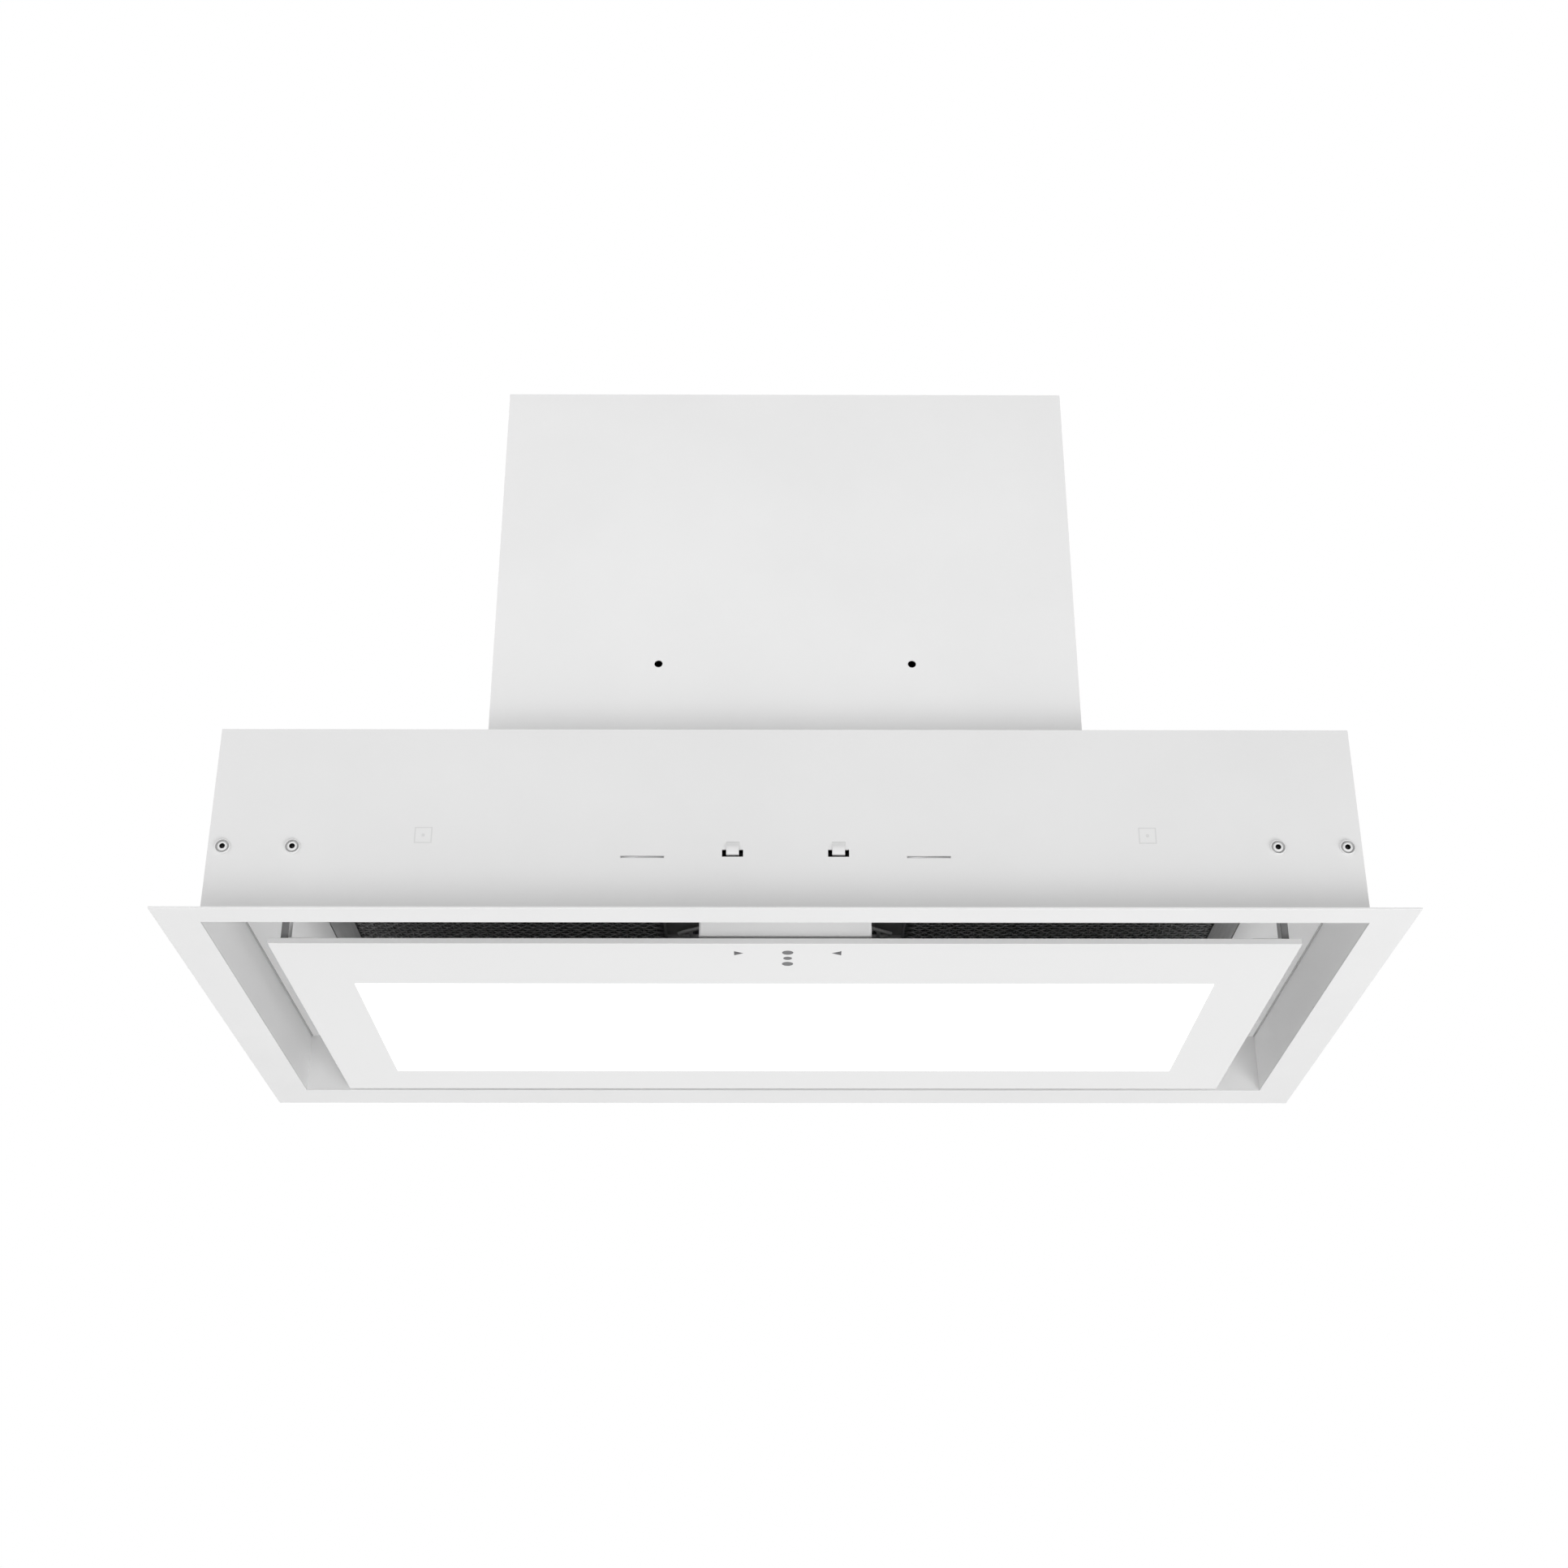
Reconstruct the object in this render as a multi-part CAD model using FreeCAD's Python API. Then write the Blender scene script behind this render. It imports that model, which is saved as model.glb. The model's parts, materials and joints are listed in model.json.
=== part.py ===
import FreeCAD, Part
import math
import os

# A ceiling range hood that is built into a cabinet.  Millimetres, +Z up.
# The origin is the middle of the trim flange's lower face.  The user stands on the -Y side.

# ---------------------------------------------------------------- driving dimensions

# sheet metal
SHEET = 0.8                      # casing, motor box and inner plate
WELD_LIP = 3.0                   # casing lip welded on the flange
FOLD_LIP = 12.0                  # inward lips of folded walls
HOLE_PLAY = 0.05                 # round a shank in its hole
SLOT_PLAY = 0.15                 # round a tongue in its slot
OVERCUT = 1.0                    # how far a cutting shape runs past the face that it cuts

# trim flange, and how far it stands out round the casing
FLANGE_WIDTH = 600.0
FLANGE_DEPTH = 304.0
FLANGE_SHEET = 1.0
SIDE_RIM = 20.0
FRONT_RIM = 16.5
REAR_RIM = 23.5
SEAT_GROOVE_GAP = 0.2            # between the weld lips and the groove round them
SEAT_GROOVE_WIDTH = 1.0
SEAT_GROOVE_DEPTH = 0.3

# lower casing
CASING_TOP = 103.0
CASING_LIP_CORNER = 12.0         # the top lips of the ends stop short of the corners
SIDE_HOLE_RADIUS = 2.6           # cabinet fixing screws
SIDE_HOLE_SPACING = 200.0
SIDE_HOLE_Z = 70.0

# inner plate, which carries the filter
PLATE_UNDERSIDE = 33.5
PLATE_EDGE_HEIGHT = 14.0
PLATE_EDGE_CORNER = 14.0         # the upturned edges stop short of the corners
PLATE_TONGUE_WIDTH = 21.0
PLATE_TONGUE_X = 69.4
PLATE_TONGUE_SETBACK = 0.4       # of a tongue's tip in its slot
PLATE_NOTCH_MARGIN = 4.0         # the front edge stays clear of the lances by this much
OPENING_EDGE_HEIGHT = 5.0

# marks pressed in the front wall
LANCE_WIDTH = 10.2
LANCE_HEIGHT = 3.8
LANCE_SLIT = 1.0
LANCE_SIDE_SLIT = 2.0
LANCE_X = 25.7
LANCE_BOTTOM = 34.0
KNOCKOUT_SIZE = 8.6
KNOCKOUT_GROOVE = 0.5
KNOCKOUT_DEPTH = 0.3
KNOCKOUT_DIMPLE_RADIUS = 0.8
KNOCKOUT_X = 176.1
KNOCKOUT_Z = 45.3

# blind rivets
RIVET_HEAD_RADIUS = 3.8
RIVET_HEAD_HEIGHT = 1.2
RIVET_DOME_STEPS = 4
RIVET_SHANK_RADIUS = 1.6
RIVET_TAIL_RADIUS = 2.4
RIVET_TAIL_LENGTH = 3.0
RIVET_HOLE_RADIUS = 1.15
RIVET_HOLE_DEPTH = 1.8
RIVET_Z = 39.1
PLATE_RIVET_INSET = 41.0         # from the casing's sides
CORNER_RIVET_INSET = 7.2

# pan head screws
SCREW_HEAD_RADIUS = 3.4
SCREW_HEAD_HEIGHT = 2.2
SCREW_HEAD_FILLET = 0.9
SCREW_SHANK_RADIUS = 1.7
SCREW_RECESS_LENGTH = 3.6
SCREW_RECESS_WIDTH = 0.9
SCREW_RECESS_DEPTH = 1.2
SCREW_LENGTH = 6.0

# motor box
BOX_WIDTH = 300.0
BOX_SETBACK = 15.0               # from the casing's front and rear
BOX_HEIGHT = 213.0
BOX_RIVETS_PER_SIDE = 3
BOX_RIVET_EDGE = 30.0            # from the outer rivets to the corners of the box
FRONT_HOLE_RADIUS = 2.1
FRONT_HOLE_SPACING = 130.0
FRONT_HOLE_HEIGHT = 45.6         # above the casing
TOP_EDGE_HEIGHT = 10.0           # downturned edges of the top plate
COVER_SCREWS_PER_SIDE = 3
COVER_SCREW_EDGE = 24.0
COVER_PLAY = 0.3

# blower
WHEEL_RADIUS = 72.0
WHEEL_LENGTH = 110.0
WHEEL_RING_WIDTH = 12.0
WHEEL_RING_SHEET = 2.0
WHEEL_DISC_SHEET = 2.0
BLADE_COUNT = 32
BLADE_SHEET = 0.8
BLADE_SWEEP = 7.0                # degrees between a blade's inner and outer edge
BLADE_CAMBER = 2.2
SCROLL_START_RADIUS = 84.0
SCROLL_GROWTH = 8.0              # radius added in each quarter turn
SCROLL_WALL = 1.6
SCROLL_SIDE_GAP = 7.0            # between the wheel and a side wall
SCROLL_REAR_GAP = 3.0
SCROLL_FLOOR_GAP = 7.0
SCROLL_INLET_RADIUS = 56.0
SCROLL_INLET_COLLAR = 4.5
NECK_LIP = 8.0
NECK_LIP_SHEET = 2.0

# motor
MOTOR_RADIUS = 42.0
MOTOR_CAN_SHEET = 1.5
MOTOR_LENGTH = 48.0
MOTOR_DISC_GAP = 7.0             # between the wheel's disc and the motor
MOTOR_CAP_SHEET = 2.0
BEARING_RADIUS = 11.0
BEARING_WIDTH = 7.0
BEARING_BOSS_WALL = 3.0
SHAFT_RADIUS = 4.0
SHAFT_TAIL = 4.0
SHAFT_CAP_PLAY = 1.0
ROTOR_RADIUS = 23.5
AIR_GAP = 0.5
STATOR_LENGTH = 24.0
WINDING_OVERHANG = 5.5
WINDING_INSET = 2.0
HUB_RADIUS = 12.0
HUB_FLANGE_RADIUS = 24.0
HUB_FLANGE_SHEET = 3.0
HUB_LENGTH = 16.0
PRESS_PLAY = 0.02
SPIDER_SHEET = 2.0
SPIDER_DISC_RADIUS = 30.0
SPIDER_ARM_WIDTH = 14.0
SPIDER_ARM_COUNT = 3
SPIDER_POST_RADIUS = 4.0
SPIDER_POST_CIRCLE = 24.0
DAMPER_CIRCLE = 64.0
DAMPER_RADIUS = 5.0
DAMPER_LENGTH = 2.4

# outlet collar and its two flaps
COLLAR_RADIUS = 74.5
COLLAR_WALL = 1.2
COLLAR_HEIGHT = 28.0
COLLAR_FLANGE_RADIUS = 86.0
COLLAR_FLANGE_SHEET = 2.0
COLLAR_LEDGE = 2.3
COLLAR_LEDGE_SHEET = 1.3
COLLAR_SCREW_CIRCLE = 80.0
FLAP_AXIS_HEIGHT = 6.0           # above the motor box
FLAP_AXIS_OFFSET = 3.0           # each side of the collar's middle
FLAP_SHEET = 1.0
FLAP_EDGE_GAP = 1.3
FLAP_LEDGE_GAP = 0.2
FLAP_ROD_RADIUS = 1.5
FLAP_ROD_PLAY = 0.08
FLAP_KNUCKLE_WALL = 0.8
FLAP_KNUCKLE_END = 5.0

# electrical parts
CAPACITOR_RADIUS = 17.5
CAPACITOR_LENGTH = 72.0
CAPACITOR_STUD_RADIUS = 4.0
CAPACITOR_STUD_LENGTH = 8.0
CAPACITOR_SHIFT_Y = 43.5         # behind the box's middle
CAPACITOR_HEIGHT = 27.0          # above the casing
CLIP_WALL = 1.2
CLIP_HEIGHT = 22.0
CLIP_MOUTH = 50.0                # degrees from the clip's middle to each end of its mouth
CLIP_PLAY = 0.1
CONTROL_DEPTH = 38.0
CONTROL_WIDTH = 120.0
CONTROL_HEIGHT = 96.0
CONTROL_WALL = 2.0
CONTROL_SHIFT_Y = -6.5
CONTROL_LIFT = 23.0              # above the casing
BOARD_SHEET = 1.6
BOARD_PLAY = 1.0
BOARD_STANDOFF = 5.0
BOARD_STANDOFF_RADIUS = 3.0
RELAY_SIZE = (16.0, 22.0, 18.0)
RELAY_COUNT = 3
RELAY_PITCH = 30.0
GLAND_SIDE_INSET = 38.0
GLAND_REAR_INSET = 37.5
GLAND_THREAD_RADIUS = 8.0
GLAND_BORE_RADIUS = 4.5
GLAND_HEX = 20.0                 # across flats
GLAND_HEX_HEIGHT = 6.0
GLAND_CAP_RADIUS = 9.0
GLAND_CAP_HEIGHT = 11.0
GLAND_THREAD_LENGTH = 10.0
GLAND_NUT_HEIGHT = 5.0

# grease filter
FILTER_SIDE_SPACE = 43.5         # to the recess's walls
FILTER_FRONT_SPACE = 13.7
FILTER_REAR_SPACE = 22.7
FILTER_HEIGHT = 9.0
FILTER_PLAY = 0.5                # round the frame in the plate's opening
FILTER_LIP = 12.7
FILTER_SHEET = 0.6
FILTER_TAB_WIDTH = 20.0
FILTER_TAB_X = 150.0
FILTER_TAB_REACH = 6.0
SEAT_GAP = 0.3                   # between the plate and what rests on it
SCREEN_SHEET = 0.8
SCREEN_SLOT_PITCH = 6.0
SCREEN_SLOT_WIDTH = 3.2
SCREEN_SLOT_ROWS = 3
SCREEN_BAR = 6.0                 # between two rows of slots

# the filter's latch
BEZEL_WIDTH = 126.0
BEZEL_REAR_ROOM = 2.7            # behind the latch at the end of its travel
BEZEL_SHEET = 1.0
LATCH_TRAVEL = 7.0
LATCH_SHEET = 2.0
LATCH_TONGUE_WIDTH = 40.0
LATCH_OVERLAP = 5.0              # of the tongue's tip on the plate
LATCH_PLAY = 0.3
BOW_WIDTH = 112.0
BOW_SAG = 26.0
BOW_REACH = 85.0                 # from the frame's front to the bow's rear
BOW_BAR = 2.6
BOW_CORNER = 5.0
BOW_DROP = 2.6                   # below the plate
SPRING_LEAF = 0.5
SPRING_HEIGHT = 2.4
SPRING_WIDTH = 100.0

# light panel
GLASS_SHEET = 3.0
GLASS_SIDE_GAP = 26.1
GLASS_FRONT_GAP = 27.8
GLASS_REAR_GAP = 3.9
WINDOW_SIDE_MARGIN = 33.0
WINDOW_FRONT_MARGIN = 56.2
WINDOW_REAR_MARGIN = 32.8
WINDOW_PLAY = 0.1
WINDOW_STEP = 6.0
WINDOW_STEP_SHEET = 1.5
GUIDE_SHEET = 4.0
TRAY_SHEET = 0.8
TRAY_SIDE_SPACE = 4.0            # beside the window's step
TRAY_LIP = 6.0
TRAY_ROOM = 4.6                  # above the light guide
LED_STRIP_SHEET = 1.0
LED_STRIP_GAP = 1.6
LED_COUNT = 28
LED_SIZE = 2.8
LED_HEIGHT = 0.9
LED_STRIP_END = 10.0

# sensor housing behind the glass
HOUSING_WIDTH = 85.2
HOUSING_DEPTH = 34.0
HOUSING_HEIGHT = 14.8
HOUSING_SETBACK = 2.7
HOUSING_WALL = 1.8
HOUSING_CORNER = 1.6
GASKET_SHEET = 2.2
GASKET_INSET = 1.0
GASKET_WIDTH = 3.0
SENSOR_CENTRE_X = 1.2
SENSOR_RADII = (2.7, 2.1, 2.7)
SENSOR_SETBACK = 12.0            # of the front sensor from the glass edge
SENSOR_PITCH = 7.7
SENSOR_PLAY = 0.05
SENSOR_STEM_RADIUS = 1.2
MARK_LENGTH = 4.4
MARK_HEIGHT = 5.4
MARK_X = 24.2                    # from the sensors to the middle of a mark
MARK_SETBACK = 12.7
MARK_DEPTH = 0.4
MARK_PLAY = 0.05                 # round a mark in its pocket, as a share of its size

# the panel's hinges
HINGE_SIDE_INSET = 63.1          # from the glass's side edges
HINGE_INSET = 12.0               # of the axis from the glass's rear edge
HINGE_Z = 8.0
HINGE_PIN_RADIUS = 2.0
HINGE_PIN_PLAY = 0.06
HINGE_KNUCKLE_RADIUS = 4.0
HINGE_EAR_RADIUS = 4.2
HINGE_ARM_WIDTH = 20.0
HINGE_ARM_SHEET = 1.6
HINGE_ARM_REACH = 24.0
HINGE_EAR_SHEET = 1.5
HINGE_EAR_GAP = 0.4
HINGE_FOOT = 14.0
HINGE_PIN_HEAD_RADIUS = 3.4
HINGE_PIN_HEAD = 1.2

# the panel's catches
CATCH_SIDE_INSET = 7.3
CATCH_SHEET = 3.7
CATCH_DEPTH = 7.0
CATCH_TOP = 29.0
CATCH_SETBACK = 3.3
CATCH_FOOT_SHEET = 1.6
CATCH_FOOT_WIDTH = 14.0
CLIP_GAP = 0.35
CLIP_LEG_SHEET = 1.0
CLIP_LEG_LENGTH = 11.0
CLIP_DEPTH = 5.0

# ---------------------------------------------------------------- sizes that follow

def grown(span, amount):
    """The span made longer at both ends, or shorter where the amount is negative."""
    return (span[0] - amount, span[1] + amount)


def centred(middle, size):
    return (middle - size / 2, middle + size / 2)


V = FreeCAD.Vector
UP = V(0, 0, 1)
RIGHT = V(1, 0, 0)
REAR = V(0, 1, 0)
SIDES = (-1, 1)

flange_x = (-FLANGE_WIDTH / 2, FLANGE_WIDTH / 2)
flange_y = (-FLANGE_DEPTH / 2, FLANGE_DEPTH / 2)
casing_x = (flange_x[0] + SIDE_RIM, flange_x[1] - SIDE_RIM)
casing_y = (flange_y[0] + FRONT_RIM, flange_y[1] - REAR_RIM)
middle_y = (casing_y[0] + casing_y[1]) / 2
casing_z = (FLANGE_SHEET, CASING_TOP)
room_x = (casing_x[0] + SHEET, casing_x[1] - SHEET)
room_y = (casing_y[0] + SHEET, casing_y[1] - SHEET)
plate_z = (PLATE_UNDERSIDE, PLATE_UNDERSIDE + SHEET)

box_x = (-BOX_WIDTH / 2, BOX_WIDTH / 2)
box_y = (casing_y[0] + BOX_SETBACK, casing_y[1] - BOX_SETBACK)
box_z = (CASING_TOP, CASING_TOP + BOX_HEIGHT)
box_room_x = (box_x[0] + SHEET, box_x[1] - SHEET)
box_room_y = (box_y[0] + SHEET, box_y[1] - SHEET)
box_ceiling = box_z[1] - SHEET

scroll_half_room = WHEEL_LENGTH / 2 + SCROLL_SIDE_GAP
scroll_half_width = scroll_half_room + SCROLL_WALL
fan_y = box_room_y[1] - SCROLL_REAR_GAP - SCROLL_WALL - SCROLL_START_RADIUS
fan_z = box_z[0] + SCROLL_FLOOR_GAP + SCROLL_WALL + SCROLL_START_RADIUS + SCROLL_GROWTH
neck_y = (fan_y - SCROLL_START_RADIUS - 3 * SCROLL_GROWTH, fan_y)
neck_lip_z = (box_ceiling - NECK_LIP_SHEET, box_ceiling)

motor_x = (WHEEL_DISC_SHEET / 2 + MOTOR_DISC_GAP, WHEEL_DISC_SHEET / 2 + MOTOR_DISC_GAP + MOTOR_LENGTH)
motor_middle = (motor_x[0] + motor_x[1]) / 2
spider_x = (scroll_half_width + DAMPER_LENGTH, scroll_half_width + DAMPER_LENGTH + SPIDER_SHEET)

collar_bore = COLLAR_RADIUS - COLLAR_WALL
flap_z = box_z[1] + FLAP_AXIS_HEIGHT
screw_x = scroll_half_width + NECK_LIP / 2
screw_reach = math.sqrt(COLLAR_SCREW_CIRCLE ** 2 - screw_x ** 2)

capacitor_x = box_room_x[0] + CLIP_WALL + CLIP_PLAY + CAPACITOR_RADIUS
capacitor_y = middle_y + CAPACITOR_SHIFT_Y
capacitor_bottom = CASING_TOP + CAPACITOR_HEIGHT
control_x = (box_room_x[1] - CONTROL_DEPTH, box_room_x[1])
control_y = centred(middle_y + CONTROL_SHIFT_Y, CONTROL_WIDTH)
control_z = (CASING_TOP + CONTROL_LIFT, CASING_TOP + CONTROL_LIFT + CONTROL_HEIGHT)
board_back = control_x[1] - CONTROL_WALL - BOARD_STANDOFF
board_x = (board_back - BOARD_SHEET, board_back)
gland_x = box_x[1] - GLAND_SIDE_INSET
gland_y = box_y[1] - GLAND_REAR_INSET

filter_x = (room_x[0] + FILTER_SIDE_SPACE, room_x[1] - FILTER_SIDE_SPACE)
filter_y = (room_y[0] + FILTER_FRONT_SPACE, room_y[1] - FILTER_REAR_SPACE)
filter_z = (PLATE_UNDERSIDE, PLATE_UNDERSIDE + FILTER_HEIGHT)
tab_z = (plate_z[1] + SEAT_GAP, plate_z[1] + SEAT_GAP + SCREEN_SHEET)
latch_z = (plate_z[1] + SEAT_GAP, plate_z[1] + SEAT_GAP + LATCH_SHEET)
bow_y = (filter_y[0] + BOW_REACH - BOW_SAG, filter_y[0] + BOW_REACH)
bow_z = (PLATE_UNDERSIDE - BOW_DROP, PLATE_UNDERSIDE)
bezel_rear = bow_y[1] + LATCH_TRAVEL + BEZEL_REAR_ROOM + BEZEL_SHEET
bezel_x = centred(0, BEZEL_WIDTH)
bezel_roof_z = (latch_z[1] + LATCH_PLAY, latch_z[1] + LATCH_PLAY + BEZEL_SHEET)
bezel_y = (filter_y[0] + FILTER_SHEET + LATCH_PLAY, bezel_rear)
latch_tongue_x = centred(0, LATCH_TONGUE_WIDTH)
latch_tip_y = filter_y[0] - FILTER_PLAY - LATCH_OVERLAP
screen_low_z = (filter_z[0] + FILTER_SHEET, filter_z[0] + FILTER_SHEET + SCREEN_SHEET)
screen_high_z = (filter_z[1] - FILTER_SHEET - SCREEN_SHEET, filter_z[1] - FILTER_SHEET)

glass_x = (room_x[0] + GLASS_SIDE_GAP, room_x[1] - GLASS_SIDE_GAP)
glass_y = (room_y[0] + GLASS_FRONT_GAP, room_y[1] - GLASS_REAR_GAP)
window_x = (glass_x[0] + WINDOW_SIDE_MARGIN, glass_x[1] - WINDOW_SIDE_MARGIN)
window_y = (glass_y[0] + WINDOW_FRONT_MARGIN, glass_y[1] - WINDOW_REAR_MARGIN)
step_z = (GLASS_SHEET, GLASS_SHEET + WINDOW_STEP_SHEET)
guide_z = (step_z[1], step_z[1] + GUIDE_SHEET)
guide_x = grown(window_x, WINDOW_STEP)
guide_y = grown(window_y, WINDOW_STEP - LED_STRIP_SHEET - LED_HEIGHT - LED_STRIP_GAP)
tray_x = grown(window_x, WINDOW_STEP + TRAY_SIDE_SPACE)
tray_y = grown(window_y, WINDOW_STEP + SLOT_PLAY + TRAY_SHEET)
tray_top = guide_z[1] + TRAY_ROOM + TRAY_SHEET
sensor_y = glass_y[0] + SENSOR_SETBACK
housing_x = centred(0, HOUSING_WIDTH)
housing_y = (glass_y[0] + HOUSING_SETBACK, glass_y[0] + HOUSING_SETBACK + HOUSING_DEPTH)
housing_z = (GLASS_SHEET + GASKET_SHEET, GLASS_SHEET + GASKET_SHEET + HOUSING_HEIGHT)
hinge_x = glass_x[1] - HINGE_SIDE_INSET
hinge_y = glass_y[1] - HINGE_INSET
catch_x = glass_x[1] - CATCH_SIDE_INSET


# ---------------------------------------------------------------- small helpers

def block(x, y, z):
    return Part.makeBox(x[1] - x[0], y[1] - y[0], z[1] - z[0], V(x[0], y[0], z[0]))


def ring_block(outer_x, outer_y, inner_x, inner_y, z):
    return block(outer_x, outer_y, z).cut(block(inner_x, inner_y, grown(z, OVERCUT)))


def rod(start, direction, radius, length):
    return Part.makeCylinder(radius, length, V(*start), direction)


def pipe(start, direction, outer, inner, length):
    return rod(start, direction, outer, length).cut(rod(start, direction, inner, length))


def fused(shapes):
    return shapes[0].multiFuse(shapes[1:]).removeSplitter()


def mirrored(shape):
    return shape.mirror(V(0, 0, 0), RIGHT)


def both_sides(shape):
    return [mirrored(shape), shape]


def prism(points, direction):
    """A straight-edged outline pushed along a direction."""
    outline = Part.makePolygon([V(*p) for p in points + points[:1]])
    return Part.Face(outline).extrude(direction)


def turned(profile, position, direction):
    """A solid of revolution.  The profile is (radius, height) points, its axis goes along a direction."""
    outline = Part.makePolygon([V(r, 0, h) for r, h in profile + profile[:1]])
    solid = Part.Face(outline).revolve(V(0, 0, 0), UP, 360)
    solid.Placement = FreeCAD.Placement(V(*position), FreeCAD.Rotation(UP, direction))
    return solid


def placed(shape, position, direction):
    """A copy of a shape drawn along +Z at the origin."""
    copy = shape.copy()
    copy.Placement = FreeCAD.Placement(V(*position), FreeCAD.Rotation(UP, direction))
    return copy


def evenly(first, last, count):
    return [first + (last - first) * i / (count - 1) for i in range(count)]


def save(name, *solids):
    os.makedirs("parts", exist_ok=True)
    shape = solids[0] if len(solids) == 1 else Part.makeCompound(list(solids))
    if not shape.isValid():
        raise ValueError(name + " is not a valid shape")
    shape.exportStep("parts/" + name + ".step")


# ---------------------------------------------------------------- fasteners

def rivet():
    """A blind rivet.  Its head stands on z = 0 and its shank goes through two sheets below."""
    grip = 2 * SHEET
    head = [(RIVET_HOLE_RADIUS, 0), (RIVET_HEAD_RADIUS, 0)]
    for step in range(1, RIVET_DOME_STEPS + 1):
        angle = math.pi / 2 * step / RIVET_DOME_STEPS
        reach = RIVET_HOLE_RADIUS + (RIVET_HEAD_RADIUS - RIVET_HOLE_RADIUS) * math.cos(angle)
        head.append((reach, RIVET_HEAD_HEIGHT * math.sin(angle)))
    cap = turned(head, (0, 0, 0), UP)
    shank = rod((0, 0, -grip), UP, RIVET_SHANK_RADIUS, grip + RIVET_HEAD_HEIGHT / 2)
    tail = rod((0, 0, -grip - RIVET_TAIL_LENGTH), UP, RIVET_TAIL_RADIUS, RIVET_TAIL_LENGTH)
    hole = rod((0, 0, RIVET_HEAD_HEIGHT - RIVET_HOLE_DEPTH), UP, RIVET_HOLE_RADIUS, RIVET_HOLE_DEPTH)
    return fused([cap, shank, tail]).cut(hole)


def rivet_hole(x, y, z, direction):
    """The drill for a rivet's shank, long enough for both sheets."""
    reach = 3 * SHEET
    start = V(x, y, z) - direction * reach
    return Part.makeCylinder(RIVET_SHANK_RADIUS + HOLE_PLAY, 2 * reach, start, direction)


def pan_screw():
    """A pan head screw.  Its head stands on z = 0 and its shank goes down."""
    head = rod((0, 0, 0), UP, SCREW_HEAD_RADIUS, SCREW_HEAD_HEIGHT)
    rim = [edge for edge in head.Edges if edge.BoundBox.ZMin > SCREW_HEAD_HEIGHT / 2]
    head = head.makeFillet(min(SCREW_HEAD_FILLET, SCREW_HEAD_HEIGHT / 2), [rim[0]])
    shank = rod((0, 0, -SCREW_LENGTH), UP, SCREW_SHANK_RADIUS, SCREW_LENGTH)
    recess_z = (SCREW_HEAD_HEIGHT - SCREW_RECESS_DEPTH, SCREW_HEAD_HEIGHT + OVERCUT)
    long_way = centred(0, SCREW_RECESS_LENGTH)
    short_way = centred(0, SCREW_RECESS_WIDTH)
    cross = block(long_way, short_way, recess_z).fuse(block(short_way, long_way, recess_z))
    return fused([head, shank]).cut(cross)


def screw_hole(x, y, z, direction, depth):
    start = V(x, y, z) - direction * depth
    return Part.makeCylinder(SCREW_SHANK_RADIUS + HOLE_PLAY, 2 * depth, start, direction)


# ---------------------------------------------------------------- trim flange and lower casing

def front_rivet_places():
    rivet_x = (casing_x[1] - PLATE_RIVET_INSET, casing_x[1] - CORNER_RIVET_INSET)
    return [(side * x, RIVET_Z) for side in SIDES for x in rivet_x]


def make_trim_flange():
    """A flat ring.  A groove round the casing's foot parts its upper face from the cabinet's seat."""
    inset = WELD_LIP + SEAT_GROOVE_GAP
    groove_x = grown(casing_x, inset)
    groove_y = grown(casing_y, inset)
    groove_z = (FLANGE_SHEET - SEAT_GROOVE_DEPTH, FLANGE_SHEET + OVERCUT)
    outer_x = grown(groove_x, SEAT_GROOVE_WIDTH)
    outer_y = grown(groove_y, SEAT_GROOVE_WIDTH)
    groove = block(outer_x, outer_y, groove_z).cut(block(groove_x, groove_y, groove_z))
    save("trim_flange", ring_block(flange_x, flange_y, room_x, room_y, (0, FLANGE_SHEET)).cut(groove))


def lance_slit(x):
    """The U-shaped slit round a tab that stays joined at its top."""
    z = (LANCE_BOTTOM, LANCE_BOTTOM + LANCE_HEIGHT)
    wall = grown((casing_y[0], room_y[0]), OVERCUT)
    tab_x = grown(centred(x, LANCE_WIDTH), -LANCE_SIDE_SLIT)
    outer = block(centred(x, LANCE_WIDTH), wall, z)
    return outer.cut(block(tab_x, wall, (z[0] + LANCE_SLIT, z[1])))


def knockout_groove(x):
    """A square groove and a middle dimple in the front wall's outer face."""
    y = (casing_y[0] - OVERCUT, casing_y[0] + KNOCKOUT_DEPTH)
    groove_x = centred(x, KNOCKOUT_SIZE)
    groove_z = centred(KNOCKOUT_Z, KNOCKOUT_SIZE)
    inner = block(grown(groove_x, -KNOCKOUT_GROOVE), y, grown(groove_z, -KNOCKOUT_GROOVE))
    dimple = rod((x, y[0], KNOCKOUT_Z), REAR, KNOCKOUT_DIMPLE_RADIUS, y[1] - y[0])
    return block(groove_x, y, groove_z).cut(inner).fuse(dimple)


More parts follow.
